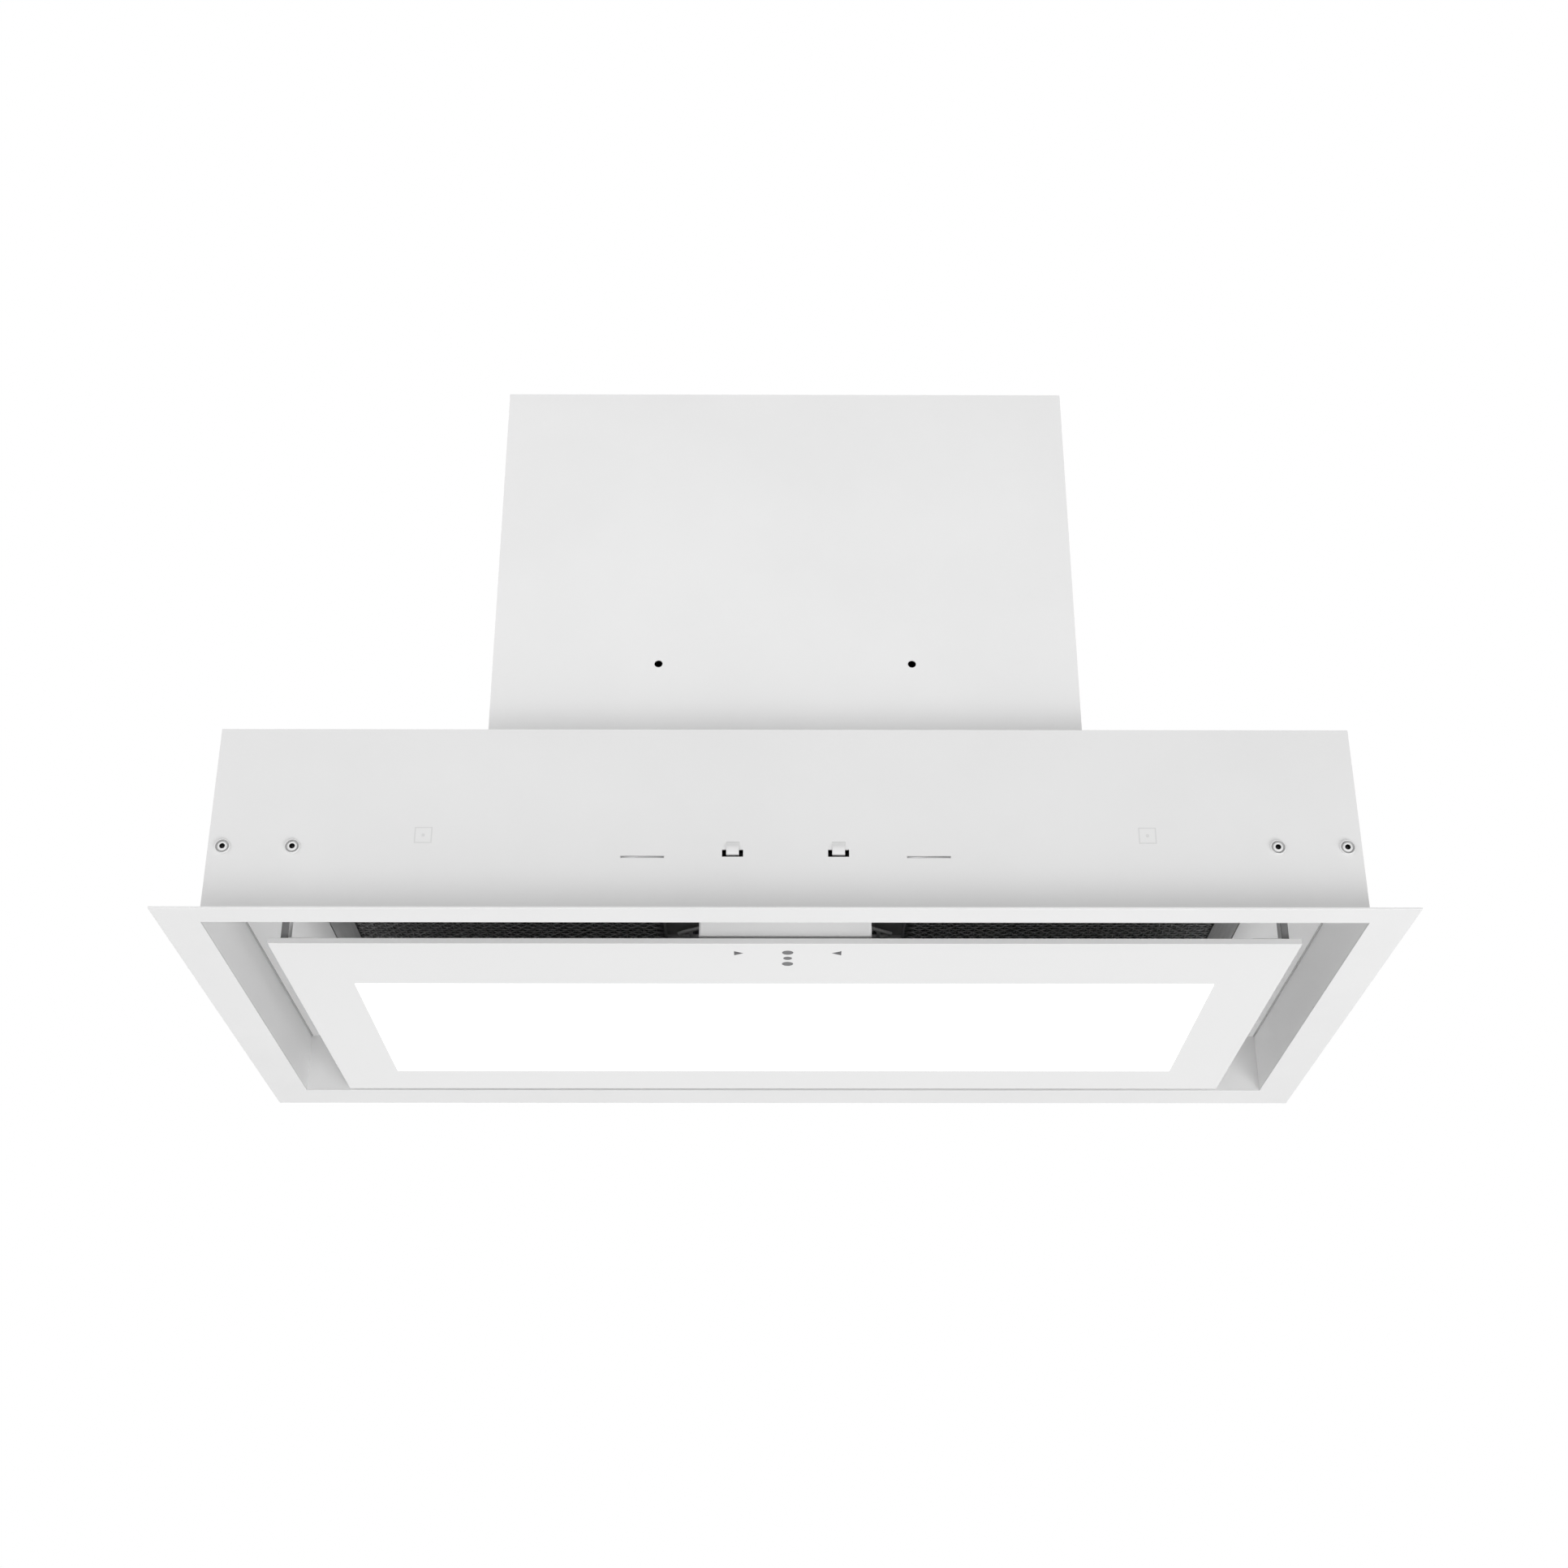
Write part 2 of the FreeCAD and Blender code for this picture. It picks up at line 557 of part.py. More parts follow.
def make_casing_wrap():
    """Front wall, top and rear wall, folded from one sheet, with the marks of the front wall."""
    top = block(casing_x, casing_y, (CASING_TOP - SHEET, CASING_TOP))
    front = block(casing_x, (casing_y[0], room_y[0]), casing_z)
    rear = block(casing_x, (room_y[1], casing_y[1]), casing_z)
    lip_z = (FLANGE_SHEET, FLANGE_SHEET + SHEET)
    front_lip = block(casing_x, (casing_y[0] - WELD_LIP, casing_y[0]), lip_z)
    rear_lip = block(casing_x, (casing_y[1], casing_y[1] + WELD_LIP), lip_z)
    shell = fused([top, front, rear, front_lip, rear_lip])
    hole_x = grown(box_room_x, -2 * FOLD_LIP)
    hole_y = grown(box_room_y, -2 * FOLD_LIP)
    tools = [block(hole_x, hole_y, grown((CASING_TOP - SHEET, CASING_TOP), OVERCUT))]
    slot_z = grown(plate_z, SLOT_PLAY)
    for side in SIDES:
        slot_x = grown(centred(side * PLATE_TONGUE_X, PLATE_TONGUE_WIDTH), SLOT_PLAY)
        tools.append(block(slot_x, grown((casing_y[0], room_y[0]), OVERCUT), slot_z))
        tools.append(lance_slit(side * LANCE_X))
        tools.append(knockout_groove(side * KNOCKOUT_X))
    for x, z in front_rivet_places():
        tools.append(rivet_hole(x, casing_y[0], z, REAR))
        tools.append(rivet_hole(x, casing_y[1], z, REAR))
    for x, y in box_rivet_places():
        tools.append(rivet_hole(x, y, CASING_TOP, UP))
    save("casing_wrap", shell.cut(tools))


def casing_end():
    """The right end wall with its four lips and two cabinet fixing holes."""
    wall = block((room_x[1], casing_x[1]), room_y, (FLANGE_SHEET, CASING_TOP - SHEET))
    weld_lip = block((casing_x[1], casing_x[1] + WELD_LIP), room_y, (FLANGE_SHEET, FLANGE_SHEET + SHEET))
    lip_x = (room_x[1] - FOLD_LIP, room_x[1])
    lip_z = (plate_z[1] + SEAT_GAP, CASING_TOP - 2 * SHEET)
    front_lip = block(lip_x, (room_y[0], room_y[0] + SHEET), lip_z)
    rear_lip = block(lip_x, (room_y[1] - SHEET, room_y[1]), lip_z)
    top_lip = block(lip_x, grown(room_y, -CASING_LIP_CORNER), (CASING_TOP - 2 * SHEET, CASING_TOP - SHEET))
    end = fused([wall, weld_lip, front_lip, rear_lip, top_lip])
    tools = [rivet_hole(casing_x[1] - CORNER_RIVET_INSET, y, RIVET_Z, REAR) for y in room_y]
    for y in centred(middle_y, SIDE_HOLE_SPACING):
        start = (room_x[1] - OVERCUT, y, SIDE_HOLE_Z)
        tools.append(rod(start, RIGHT, SIDE_HOLE_RADIUS, SHEET + 2 * OVERCUT))
    return end.cut(tools)


def make_casing_ends():
    left, right = both_sides(casing_end())
    save("casing_end_left", left)
    save("casing_end_right", right)


def make_casing_rivets():
    """The front and rear rows of blind rivets, heads outside."""
    pattern = rivet()
    rivets = []
    for x, z in front_rivet_places():
        rivets.append(placed(pattern, (x, casing_y[0], z), -REAR))
        rivets.append(placed(pattern, (x, casing_y[1], z), REAR))
    save("casing_rivets", *rivets)


def make_inner_plate():
    """The recess's ceiling.  Its front edge is notched behind the lances, and has two tongues."""
    sheet = block(room_x, room_y, plate_z)
    edge_z = (plate_z[0], plate_z[0] + PLATE_EDGE_HEIGHT)
    long_edge = grown(room_x, -PLATE_EDGE_CORNER)
    short_edge = grown(room_y, -PLATE_EDGE_CORNER)
    shapes = [sheet]
    shapes.append(block(long_edge, (room_y[0], room_y[0] + SHEET), edge_z))
    shapes.append(block(long_edge, (room_y[1] - SHEET, room_y[1]), edge_z))
    opening_x = grown(filter_x, FILTER_PLAY)
    opening_y = grown(filter_y, FILTER_PLAY)
    opening_edge = (plate_z[0], plate_z[0] + OPENING_EDGE_HEIGHT)
    for side in SIDES:
        wall = sorted((side * room_x[1], side * (room_x[1] - SHEET)))
        rim = sorted((side * opening_x[1], side * (opening_x[1] + SHEET)))
        tongue_x = centred(side * PLATE_TONGUE_X, PLATE_TONGUE_WIDTH)
        shapes.append(block(wall, short_edge, edge_z))
        shapes.append(block(rim, opening_y, opening_edge))
        shapes.append(block(tongue_x, (casing_y[0] + PLATE_TONGUE_SETBACK, room_y[0]), plate_z))
    notch_x = centred(0, 2 * LANCE_X + LANCE_WIDTH + 2 * PLATE_NOTCH_MARGIN)
    notch_y = grown((room_y[0], room_y[0] + SHEET), OVERCUT)
    tools = [block(opening_x, opening_y, grown(plate_z, OVERCUT))]
    tools.append(block(notch_x, notch_y, (plate_z[1], edge_z[1] + OVERCUT)))
    for x, z in front_rivet_places():
        tools.append(rivet_hole(x, room_y[0], z, REAR))
        tools.append(rivet_hole(x, room_y[1], z, REAR))
    save("inner_plate", fused(shapes).cut(tools))


# ---------------------------------------------------------------- motor box

def box_rivet_places():
    """Along the left and right foot lips of the motor box."""
    middle_x = box_room_x[1] - FOLD_LIP / 2
    rows = evenly(box_y[0] + BOX_RIVET_EDGE, box_y[1] - BOX_RIVET_EDGE, BOX_RIVETS_PER_SIDE)
    return [(side * middle_x, y) for side in SIDES for y in rows]


def cover_screw_places():
    middle_x = box_room_x[1] - FOLD_LIP / 2
    rows = evenly(box_z[0] + COVER_SCREW_EDGE, box_z[1] - COVER_SCREW_EDGE, COVER_SCREWS_PER_SIDE)
    return [(side * middle_x, z) for side in SIDES for z in rows]


def make_motor_box_wrap():
    """Front and side walls folded from one sheet, with foot lips and rear lips."""
    outer = block(box_x, (box_y[0], box_room_y[1]), box_z)
    inner = block(box_room_x, (box_room_y[0], box_y[1] + OVERCUT), grown(box_z, OVERCUT))
    shapes = [outer.cut(inner)]
    foot_z = (box_z[0], box_z[0] + SHEET)
    foot_y = (box_room_y[0], box_room_y[1] - SHEET)
    shapes.append(block(box_room_x, (box_room_y[0], box_room_y[0] + FOLD_LIP), foot_z))
    rear_z = (box_z[0], box_ceiling - TOP_EDGE_HEIGHT - COVER_PLAY)
    for side in SIDES:
        lip = sorted((side * box_room_x[1], side * (box_room_x[1] - FOLD_LIP)))
        shapes.append(block(lip, foot_y, foot_z))
        shapes.append(block(lip, (box_room_y[1] - SHEET, box_room_y[1]), rear_z))
    tools = [rivet_hole(x, y, CASING_TOP, UP) for x, y in box_rivet_places()]
    for x, z in cover_screw_places():
        tools.append(screw_hole(x, box_room_y[1], z, REAR, SCREW_LENGTH))
    for x in centred(0, FRONT_HOLE_SPACING):
        start = (x, box_y[0] - OVERCUT, box_z[0] + FRONT_HOLE_HEIGHT)
        tools.append(rod(start, REAR, FRONT_HOLE_RADIUS, SHEET + 2 * OVERCUT))
    save("motor_box_wrap", fused(shapes).cut(tools))


def make_motor_box_rear_cover():
    cover = block(box_x, (box_room_y[1], box_y[1]), box_z)
    tools = [screw_hole(x, box_room_y[1], z, REAR, SCREW_LENGTH) for x, z in cover_screw_places()]
    save("motor_box_rear_cover", cover.cut(tools))


def make_motor_box_top():
    """The top plate drops between the walls, with its edges turned down."""
    sheet = block(box_room_x, box_room_y, (box_ceiling, box_z[1]))
    edge_z = (box_ceiling - TOP_EDGE_HEIGHT, box_ceiling)
    shapes = [sheet]
    shapes.append(block(box_room_x, (box_room_y[0], box_room_y[0] + SHEET), edge_z))
    shapes.append(block(box_room_x, (box_room_y[1] - SHEET, box_room_y[1]), edge_z))
    for side in SIDES:
        edge_x = sorted((side * box_room_x[1], side * (box_room_x[1] - SHEET)))
        shapes.append(block(edge_x, box_room_y, edge_z))
    start_z = box_ceiling - OVERCUT
    depth = SHEET + 2 * OVERCUT
    tools = [rod((0, middle_y, start_z), UP, collar_bore, depth)]
    tools.append(rod((gland_x, gland_y, start_z), UP, GLAND_THREAD_RADIUS + HOLE_PLAY, depth))
    for x, y in collar_screw_places():
        tools.append(screw_hole(x, y, box_z[1], UP, SCREW_LENGTH))
    save("motor_box_top", fused(shapes).cut(tools))


def make_motor_box_rivets():
    pattern = rivet()
    top = CASING_TOP + SHEET
    save("motor_box_rivets", *[placed(pattern, (x, y, top), UP) for x, y in box_rivet_places()])


def make_cover_screws():
    pattern = pan_screw()
    save("cover_screws", *[placed(pattern, (x, box_y[1], z), REAR) for x, z in cover_screw_places()])


# ---------------------------------------------------------------- blower scroll

def scroll_face(x, offset):
    """The scroll's outline in a plane across X: three quarter turns that widen, then the neck going up."""
    start = SCROLL_START_RADIUS + offset
    lean = math.asin(offset / start)
    second = start + SCROLL_GROWTH
    third = second + SCROLL_GROWTH
    first_centre = (fan_y, fan_z)
    second_centre = (fan_y - SCROLL_GROWTH, fan_z)
    third_centre = (fan_y - SCROLL_GROWTH, fan_z + SCROLL_GROWTH)

    def point(centre, radius, angle):
        return V(x, centre[0] + radius * math.cos(angle), centre[1] + radius * math.sin(angle))

    def arc(centre, radius, first, last):
        ends = [point(centre, radius, a) for a in (first, (first + last) / 2, last)]
        return Part.Arc(*ends).toShape()

    half = math.pi / 2
    front_y = third_centre[0] - third
    edges = [
        arc(first_centre, start, half - lean, 0),
        arc(second_centre, second, 0, -half),
        arc(third_centre, third, -half, -2 * half),
    ]
    low_front = V(x, front_y, third_centre[1])
    high_front = V(x, front_y, box_ceiling)
    high_rear = V(x, fan_y + offset, box_ceiling)
    tongue = point(first_centre, start, half - lean)
    edges.append(Part.makeLine(low_front, high_front))
    edges.append(Part.makeLine(high_front, high_rear))
    edges.append(Part.makeLine(high_rear, tongue))
    return Part.Face(Part.Wire(Part.__sortEdges__(edges)))


def scroll_shell():
    outer = scroll_face(-scroll_half_width, SCROLL_WALL).extrude(RIGHT * (2 * scroll_half_width))
    inner = scroll_face(-scroll_half_room, 0).extrude(RIGHT * (2 * scroll_half_room))
    neck_x = centred(0, 2 * scroll_half_room)
    lip = block(grown(neck_x, SCROLL_WALL + NECK_LIP), grown(neck_y, SCROLL_WALL + NECK_LIP), neck_lip_z)
    collar_x = scroll_half_room - SCROLL_INLET_COLLAR
    shapes = [outer, lip]
    tools = [inner, block(neck_x, neck_y, grown(neck_lip_z, OVERCUT))]
    shell = fused(shapes).cut(tools)
    rings = []
    bores = []
    for side in SIDES:
        start = (min(side * collar_x, side * scroll_half_width), fan_y, fan_z)
        length = scroll_half_width - collar_x
        rings.append(rod(start, RIGHT, SCROLL_INLET_RADIUS + SCROLL_WALL, length))
        bores.append(rod(start, RIGHT, SCROLL_INLET_RADIUS, length))
    holes = [screw_hole(x, y, box_z[1], UP, SCREW_LENGTH) for x, y in collar_screw_places()]
    return fused([shell] + rings).cut(bores + holes)


def make_scroll():
    """Two moulded halves that meet on the wheel's middle plane."""
    shell = scroll_shell()
    bounds = shell.BoundBox
    y = grown((bounds.YMin, bounds.YMax), OVERCUT)
    z = grown((bounds.ZMin, bounds.ZMax), OVERCUT)
    save("scroll_left", shell.common(block((bounds.XMin - OVERCUT, 0), y, z)))
    save("scroll_right", shell.common(block((0, bounds.XMax + OVERCUT), y, z)))


# ---------------------------------------------------------------- fan wheel and motor

def blade(turn):
    """One forward-curved blade, as long as the wheel."""
    inner = WHEEL_RADIUS - WHEEL_RING_WIDTH
    outer = WHEEL_RADIUS - BLADE_SHEET
    sweep = math.radians(BLADE_SWEEP)

    def point(radius, angle, shift):
        cosine = math.cos(turn + angle)
        sine = math.sin(turn + angle)
        y = fan_y + radius * cosine - shift * sine
        z = fan_z + radius * sine + shift * cosine
        return V(-WHEEL_LENGTH / 2, y, z)

    middle = (inner + outer) / 2
    front = [point(inner, 0, 0), point(middle, sweep / 2, -BLADE_CAMBER), point(outer, sweep, 0)]
    crown = point(middle, sweep / 2, BLADE_SHEET - BLADE_CAMBER)
    back = [point(outer, sweep, BLADE_SHEET), crown, point(inner, 0, BLADE_SHEET)]
    edges = [Part.Arc(*front).toShape(), Part.makeLine(front[2], back[0])]
    edges += [Part.Arc(*back).toShape(), Part.makeLine(back[2], front[0])]
    return Part.Face(Part.Wire(edges)).extrude(RIGHT * WHEEL_LENGTH)


def make_fan_wheel():
    """A double inlet wheel: blades between two end rings, with a disc in the middle."""
    ring_bore = WHEEL_RADIUS - WHEEL_RING_WIDTH
    half = WHEEL_LENGTH / 2
    shapes = [blade(2 * math.pi * i / BLADE_COUNT) for i in range(BLADE_COUNT)]
    for x in (-half, half - WHEEL_RING_SHEET):
        shapes.append(pipe((x, fan_y, fan_z), RIGHT, WHEEL_RADIUS, ring_bore, WHEEL_RING_SHEET))
    disc_x = -WHEEL_DISC_SHEET / 2
    disc_start = (disc_x, fan_y, fan_z)
    shapes.append(pipe(disc_start, RIGHT, WHEEL_RADIUS, HUB_RADIUS + PRESS_PLAY, WHEEL_DISC_SHEET))
    save("fan_wheel", fused(shapes))


def make_fan_hub():
    """A sleeve on the shaft with a flange against the wheel's disc."""
    right_face = WHEEL_DISC_SHEET / 2
    flange_start = -WHEEL_DISC_SHEET / 2 - HUB_FLANGE_SHEET
    sleeve = rod((right_face - HUB_LENGTH, fan_y, fan_z), RIGHT, HUB_RADIUS, HUB_LENGTH)
    flange = rod((flange_start, fan_y, fan_z), RIGHT, HUB_FLANGE_RADIUS, HUB_FLANGE_SHEET)
    bore = rod((right_face - HUB_LENGTH, fan_y, fan_z), RIGHT, SHAFT_RADIUS + PRESS_PLAY, HUB_LENGTH)
    save("fan_hub", fused([sleeve, flange]).cut(bore))


def make_motor_shaft():
    first = WHEEL_DISC_SHEET / 2 - HUB_LENGTH
    last = motor_x[1] + SHAFT_TAIL
    save("motor_shaft", rod((first, fan_y, fan_z), RIGHT, SHAFT_RADIUS, last - first))


def make_motor_rotor():
    start = (motor_middle - STATOR_LENGTH / 2, fan_y, fan_z)
    save("motor_rotor", pipe(start, RIGHT, ROTOR_RADIUS, SHAFT_RADIUS + PRESS_PLAY, STATOR_LENGTH))


def make_motor_can():
    start = (motor_x[0], fan_y, fan_z)
    save("motor_can", pipe(start, RIGHT, MOTOR_RADIUS, MOTOR_RADIUS - MOTOR_CAN_SHEET, MOTOR_LENGTH))


def motor_cap(outer_face, inward):
    """An end cap with a boss that holds a bearing.  inward is +1 or -1 along X."""
    plate_radius = MOTOR_RADIUS - MOTOR_CAN_SHEET - PRESS_PLAY
    inner_face = outer_face + inward * MOTOR_CAP_SHEET
    direction = RIGHT * inward
    plate = rod((outer_face, fan_y, fan_z), direction, plate_radius, MOTOR_CAP_SHEET)
    boss = rod((inner_face, fan_y, fan_z), direction, BEARING_RADIUS + BEARING_BOSS_WALL, BEARING_WIDTH)
    pocket = rod((inner_face, fan_y, fan_z), direction, BEARING_RADIUS + PRESS_PLAY, BEARING_WIDTH)
    shaft_hole = rod((outer_face, fan_y, fan_z), direction, SHAFT_RADIUS + SHAFT_CAP_PLAY, MOTOR_CAP_SHEET)
    return fused([plate, boss]).cut([pocket, shaft_hole])


def make_motor_caps():
    save("motor_cap_inner", motor_cap(motor_x[0], 1))
    save("motor_cap_outer", motor_cap(motor_x[1], -1))


def make_motor_bearings():
    starts = (motor_x[0] + MOTOR_CAP_SHEET, motor_x[1] - MOTOR_CAP_SHEET - BEARING_WIDTH)
    bore = SHAFT_RADIUS + HOLE_PLAY
    places = [(x, fan_y, fan_z) for x in starts]
    save("motor_bearings", *[pipe(place, RIGHT, BEARING_RADIUS, bore, BEARING_WIDTH) for place in places])


def make_stator():
    core_x = centred(motor_middle, STATOR_LENGTH)
    core_outer = MOTOR_RADIUS - MOTOR_CAN_SHEET - PRESS_PLAY
    core_bore = ROTOR_RADIUS + AIR_GAP
    save("stator_core", pipe((core_x[0], fan_y, fan_z), RIGHT, core_outer, core_bore, STATOR_LENGTH))
    starts = (core_x[0] - WINDING_OVERHANG, core_x[1])
    outer = core_outer - WINDING_INSET
    inner = core_bore + WINDING_INSET
    windings = [pipe((x, fan_y, fan_z), RIGHT, outer, inner, WINDING_OVERHANG) for x in starts]
    save("stator_windings", *windings)


def spider_angles():
    return [2 * math.pi * i / SPIDER_ARM_COUNT + math.pi / 2 for i in range(SPIDER_ARM_COUNT)]


def on_circle(radius, angle):
    return (fan_y + radius * math.cos(angle), fan_z + radius * math.sin(angle))


def make_motor_spider():
    """A disc with three arms outside the right inlet, and three posts to the motor's outer cap."""
    disc = rod((spider_x[0], fan_y, fan_z), RIGHT, SPIDER_DISC_RADIUS, SPIDER_SHEET)
    shapes = [disc]
    for angle in spider_angles():
        arm = block(spider_x, (0, DAMPER_CIRCLE), centred(0, SPIDER_ARM_WIDTH))
        arm.rotate(V(0, 0, 0), RIGHT, math.degrees(angle))
        arm.translate(V(0, fan_y, fan_z))
        y, z = on_circle(DAMPER_CIRCLE, angle)
        shapes.append(arm)
        shapes.append(rod((spider_x[0], y, z), RIGHT, SPIDER_ARM_WIDTH / 2, SPIDER_SHEET))
        y, z = on_circle(SPIDER_POST_CIRCLE, angle)
        shapes.append(rod((motor_x[1], y, z), RIGHT, SPIDER_POST_RADIUS, spider_x[0] - motor_x[1]))
    save("motor_spider", fused(shapes))


def make_spider_dampers():
    places = [on_circle(DAMPER_CIRCLE, angle) for angle in spider_angles()]
    dampers = [rod((scroll_half_width, y, z), RIGHT, DAMPER_RADIUS, DAMPER_LENGTH) for y, z in places]
    save("spider_dampers", *dampers)


# ---------------------------------------------------------------- outlet collar

def collar_screw_places():
    return [(side * screw_x, middle_y + way * screw_reach) for side in SIDES for way in SIDES]


def flap_ledge_z():
    top = flap_z - FLAP_SHEET / 2 - FLAP_LEDGE_GAP
    return (top - COLLAR_LEDGE_SHEET, top)


def make_outlet_collar():
    """A tube for the duct on a flange, with a ledge that the flaps fall on."""
    foot = (0, middle_y, box_z[1])
    flange = rod(foot, UP, COLLAR_FLANGE_RADIUS, COLLAR_FLANGE_SHEET)
    tube = rod(foot, UP, COLLAR_RADIUS, COLLAR_HEIGHT)
    bore = rod(foot, UP, collar_bore, COLLAR_HEIGHT)
    shell = fused([flange, tube]).cut(bore)
    ledge_z = flap_ledge_z()
    ledge_foot = (0, middle_y, ledge_z[0])
    ledge_outer = collar_bore + COLLAR_WALL / 2
    ledge = pipe(ledge_foot, UP, ledge_outer, collar_bore - COLLAR_LEDGE, COLLAR_LEDGE_SHEET)
    tools = [screw_hole(x, y, box_z[1], UP, SCREW_LENGTH) for x, y in collar_screw_places()]
    for way in SIDES:
        start = (-COLLAR_RADIUS - OVERCUT, middle_y + way * FLAP_AXIS_OFFSET, flap_z)
        tools.append(rod(start, RIGHT, FLAP_ROD_RADIUS + HOLE_PLAY, 2 * (COLLAR_RADIUS + OVERCUT)))
    save("outlet_collar", fused([shell, ledge]).cut(tools))


def make_collar_screws():
    pattern = pan_screw()
    top = box_z[1] + COLLAR_FLANGE_SHEET
    save("collar_screws", *[placed(pattern, (x, y, top), UP) for x, y in collar_screw_places()])


def make_flap_rods():
    reach = collar_bore + COLLAR_WALL / 2
    rods = []
    for way in SIDES:
        start = (-reach, middle_y + way * FLAP_AXIS_OFFSET, flap_z)
        rods.append(rod(start, RIGHT, FLAP_ROD_RADIUS, 2 * reach))
    save("flap_rods", *rods)


def damper_flap(way):
    """A half disc on a knuckle that turns on its rod.  way is -1 for the front flap, +1 for the rear."""
    radius = collar_bore - FLAP_EDGE_GAP
    axis_y = middle_y + way * FLAP_AXIS_OFFSET
    bottom = flap_z - FLAP_SHEET / 2
    disc = rod((0, middle_y, bottom), UP, radius, FLAP_SHEET)
    kept_x = grown((-radius, radius), OVERCUT)
    kept_y = sorted((axis_y, middle_y + way * (radius + OVERCUT)))
    half_disc = disc.common(block(kept_x, kept_y, grown((bottom, bottom + FLAP_SHEET), OVERCUT)))
    knuckle_reach = math.sqrt(radius ** 2 - FLAP_AXIS_OFFSET ** 2) - FLAP_KNUCKLE_END
    bore_radius = FLAP_ROD_RADIUS + FLAP_ROD_PLAY
    knuckle_radius = bore_radius + FLAP_KNUCKLE_WALL
    knuckle = rod((-knuckle_reach, axis_y, flap_z), RIGHT, knuckle_radius, 2 * knuckle_reach)
    bore = rod((-radius, axis_y, flap_z), RIGHT, bore_radius, 2 * radius)
    return fused([half_disc, knuckle]).cut(bore)


def make_damper_flaps():
    save("damper_flap_front", damper_flap(-1))
    save("damper_flap_rear", damper_flap(1))


# ---------------------------------------------------------------- electrical parts

def make_run_capacitor():
    foot = (capacitor_x, capacitor_y, capacitor_bottom)
    stud = (capacitor_x, capacitor_y, capacitor_bottom + CAPACITOR_LENGTH)
    body = rod(foot, UP, CAPACITOR_RADIUS, CAPACITOR_LENGTH)
    save("run_capacitor", fused([body, rod(stud, UP, CAPACITOR_STUD_RADIUS, CAPACITOR_STUD_LENGTH)]))


def make_capacitor_clip():
    """An open spring clip on the box's left wall."""
    bottom = capacitor_bottom + (CAPACITOR_LENGTH - CLIP_HEIGHT) / 2
    bore = CAPACITOR_RADIUS + CLIP_PLAY
    clip_z = (bottom, bottom + CLIP_HEIGHT)
    foot = (capacitor_x, capacitor_y, bottom)
    pad = block((box_room_x[0], capacitor_x), centred(capacitor_y, CAPACITOR_RADIUS), clip_z)
    band = fused([rod(foot, UP, bore + CLIP_WALL, CLIP_HEIGHT), pad]).cut(rod(foot, UP, bore, CLIP_HEIGHT))
    mouth_x = (capacitor_x, capacitor_x + bore + CLIP_WALL + OVERCUT)
    mouth_y = centred(capacitor_y, 2 * bore * math.sin(math.radians(CLIP_MOUTH)))
    save("capacitor_clip", band.cut(block(mouth_x, mouth_y, grown(clip_z, OVERCUT))))


def make_control_box():
    """An open moulded box on the motor box's right wall, with four posts for its board."""
    outer = block(control_x, control_y, control_z)
    inner_x = (control_x[0] - OVERCUT, control_x[1] - CONTROL_WALL)
    inner = block(inner_x, grown(control_y, -CONTROL_WALL), grown(control_z, -CONTROL_WALL))
    inset = CONTROL_WALL + BOARD_PLAY + 2 * BOARD_STANDOFF_RADIUS
    post_length = BOARD_STANDOFF + CONTROL_WALL / 2
    posts = []
    for y in grown(control_y, -inset):
        for z in grown(control_z, -inset):
            posts.append(rod((board_x[1], y, z), RIGHT, BOARD_STANDOFF_RADIUS, post_length))
    save("control_box", fused([outer.cut(inner)] + posts))


def make_control_box_lid():
    lid_x = (control_x[0] - CONTROL_WALL, control_x[0])
    plug_x = (control_x[0], control_x[0] + CONTROL_WALL)
    inset = -CONTROL_WALL - SLOT_PLAY
    lid = block(lid_x, control_y, control_z)
    plug = block(plug_x, grown(control_y, inset), grown(control_z, inset))
    save("control_box_lid", fused([lid, plug]))


def make_power_board():
    inset = -CONTROL_WALL - BOARD_PLAY
    board = block(board_x, grown(control_y, inset), grown(control_z, inset))
    shapes = [board]
    relay_x = (board_x[0] - RELAY_SIZE[0], board_x[0])
    relay_z = centred((control_z[0] + control_z[1]) / 2, RELAY_SIZE[2])
    for i in range(RELAY_COUNT):
        y = middle_y + CONTROL_SHIFT_Y + (i - (RELAY_COUNT - 1) / 2) * RELAY_PITCH
        shapes.append(block(relay_x, centred(y, RELAY_SIZE[1]), relay_z))
    save("power_board", fused(shapes))


def hexagon(x, y, z, across_flats, height):
    corner = across_flats / math.sqrt(3)
    angles = [i * math.pi / 3 for i in range(6)]
    return prism([(x + corner * math.cos(a), y + corner * math.sin(a), z) for a in angles], UP * height)


def make_cable_gland():
    """A screwed gland through the top plate, with a clear bore for the mains cable."""
    thread_foot = (gland_x, gland_y, box_z[1] - GLAND_THREAD_LENGTH)
    cap_foot = (gland_x, gland_y, box_z[1] + GLAND_HEX_HEIGHT)
    full_height = GLAND_THREAD_LENGTH + GLAND_HEX_HEIGHT + GLAND_CAP_HEIGHT
    shapes = [rod(thread_foot, UP, GLAND_THREAD_RADIUS, GLAND_THREAD_LENGTH)]
    shapes.append(hexagon(gland_x, gland_y, box_z[1], GLAND_HEX, GLAND_HEX_HEIGHT))
    shapes.append(rod(cap_foot, UP, GLAND_CAP_RADIUS, GLAND_CAP_HEIGHT))
    save("cable_gland", fused(shapes).cut(rod(thread_foot, UP, GLAND_BORE_RADIUS, full_height)))


def make_gland_nut():
    foot = (gland_x, gland_y, box_ceiling - GLAND_NUT_HEIGHT)
    nut = hexagon(*foot, GLAND_HEX, GLAND_NUT_HEIGHT)
    save("gland_nut", nut.cut(rod(foot, UP, GLAND_THREAD_RADIUS + HOLE_PLAY, GLAND_NUT_HEIGHT)))


# ---------------------------------------------------------------- grease filter

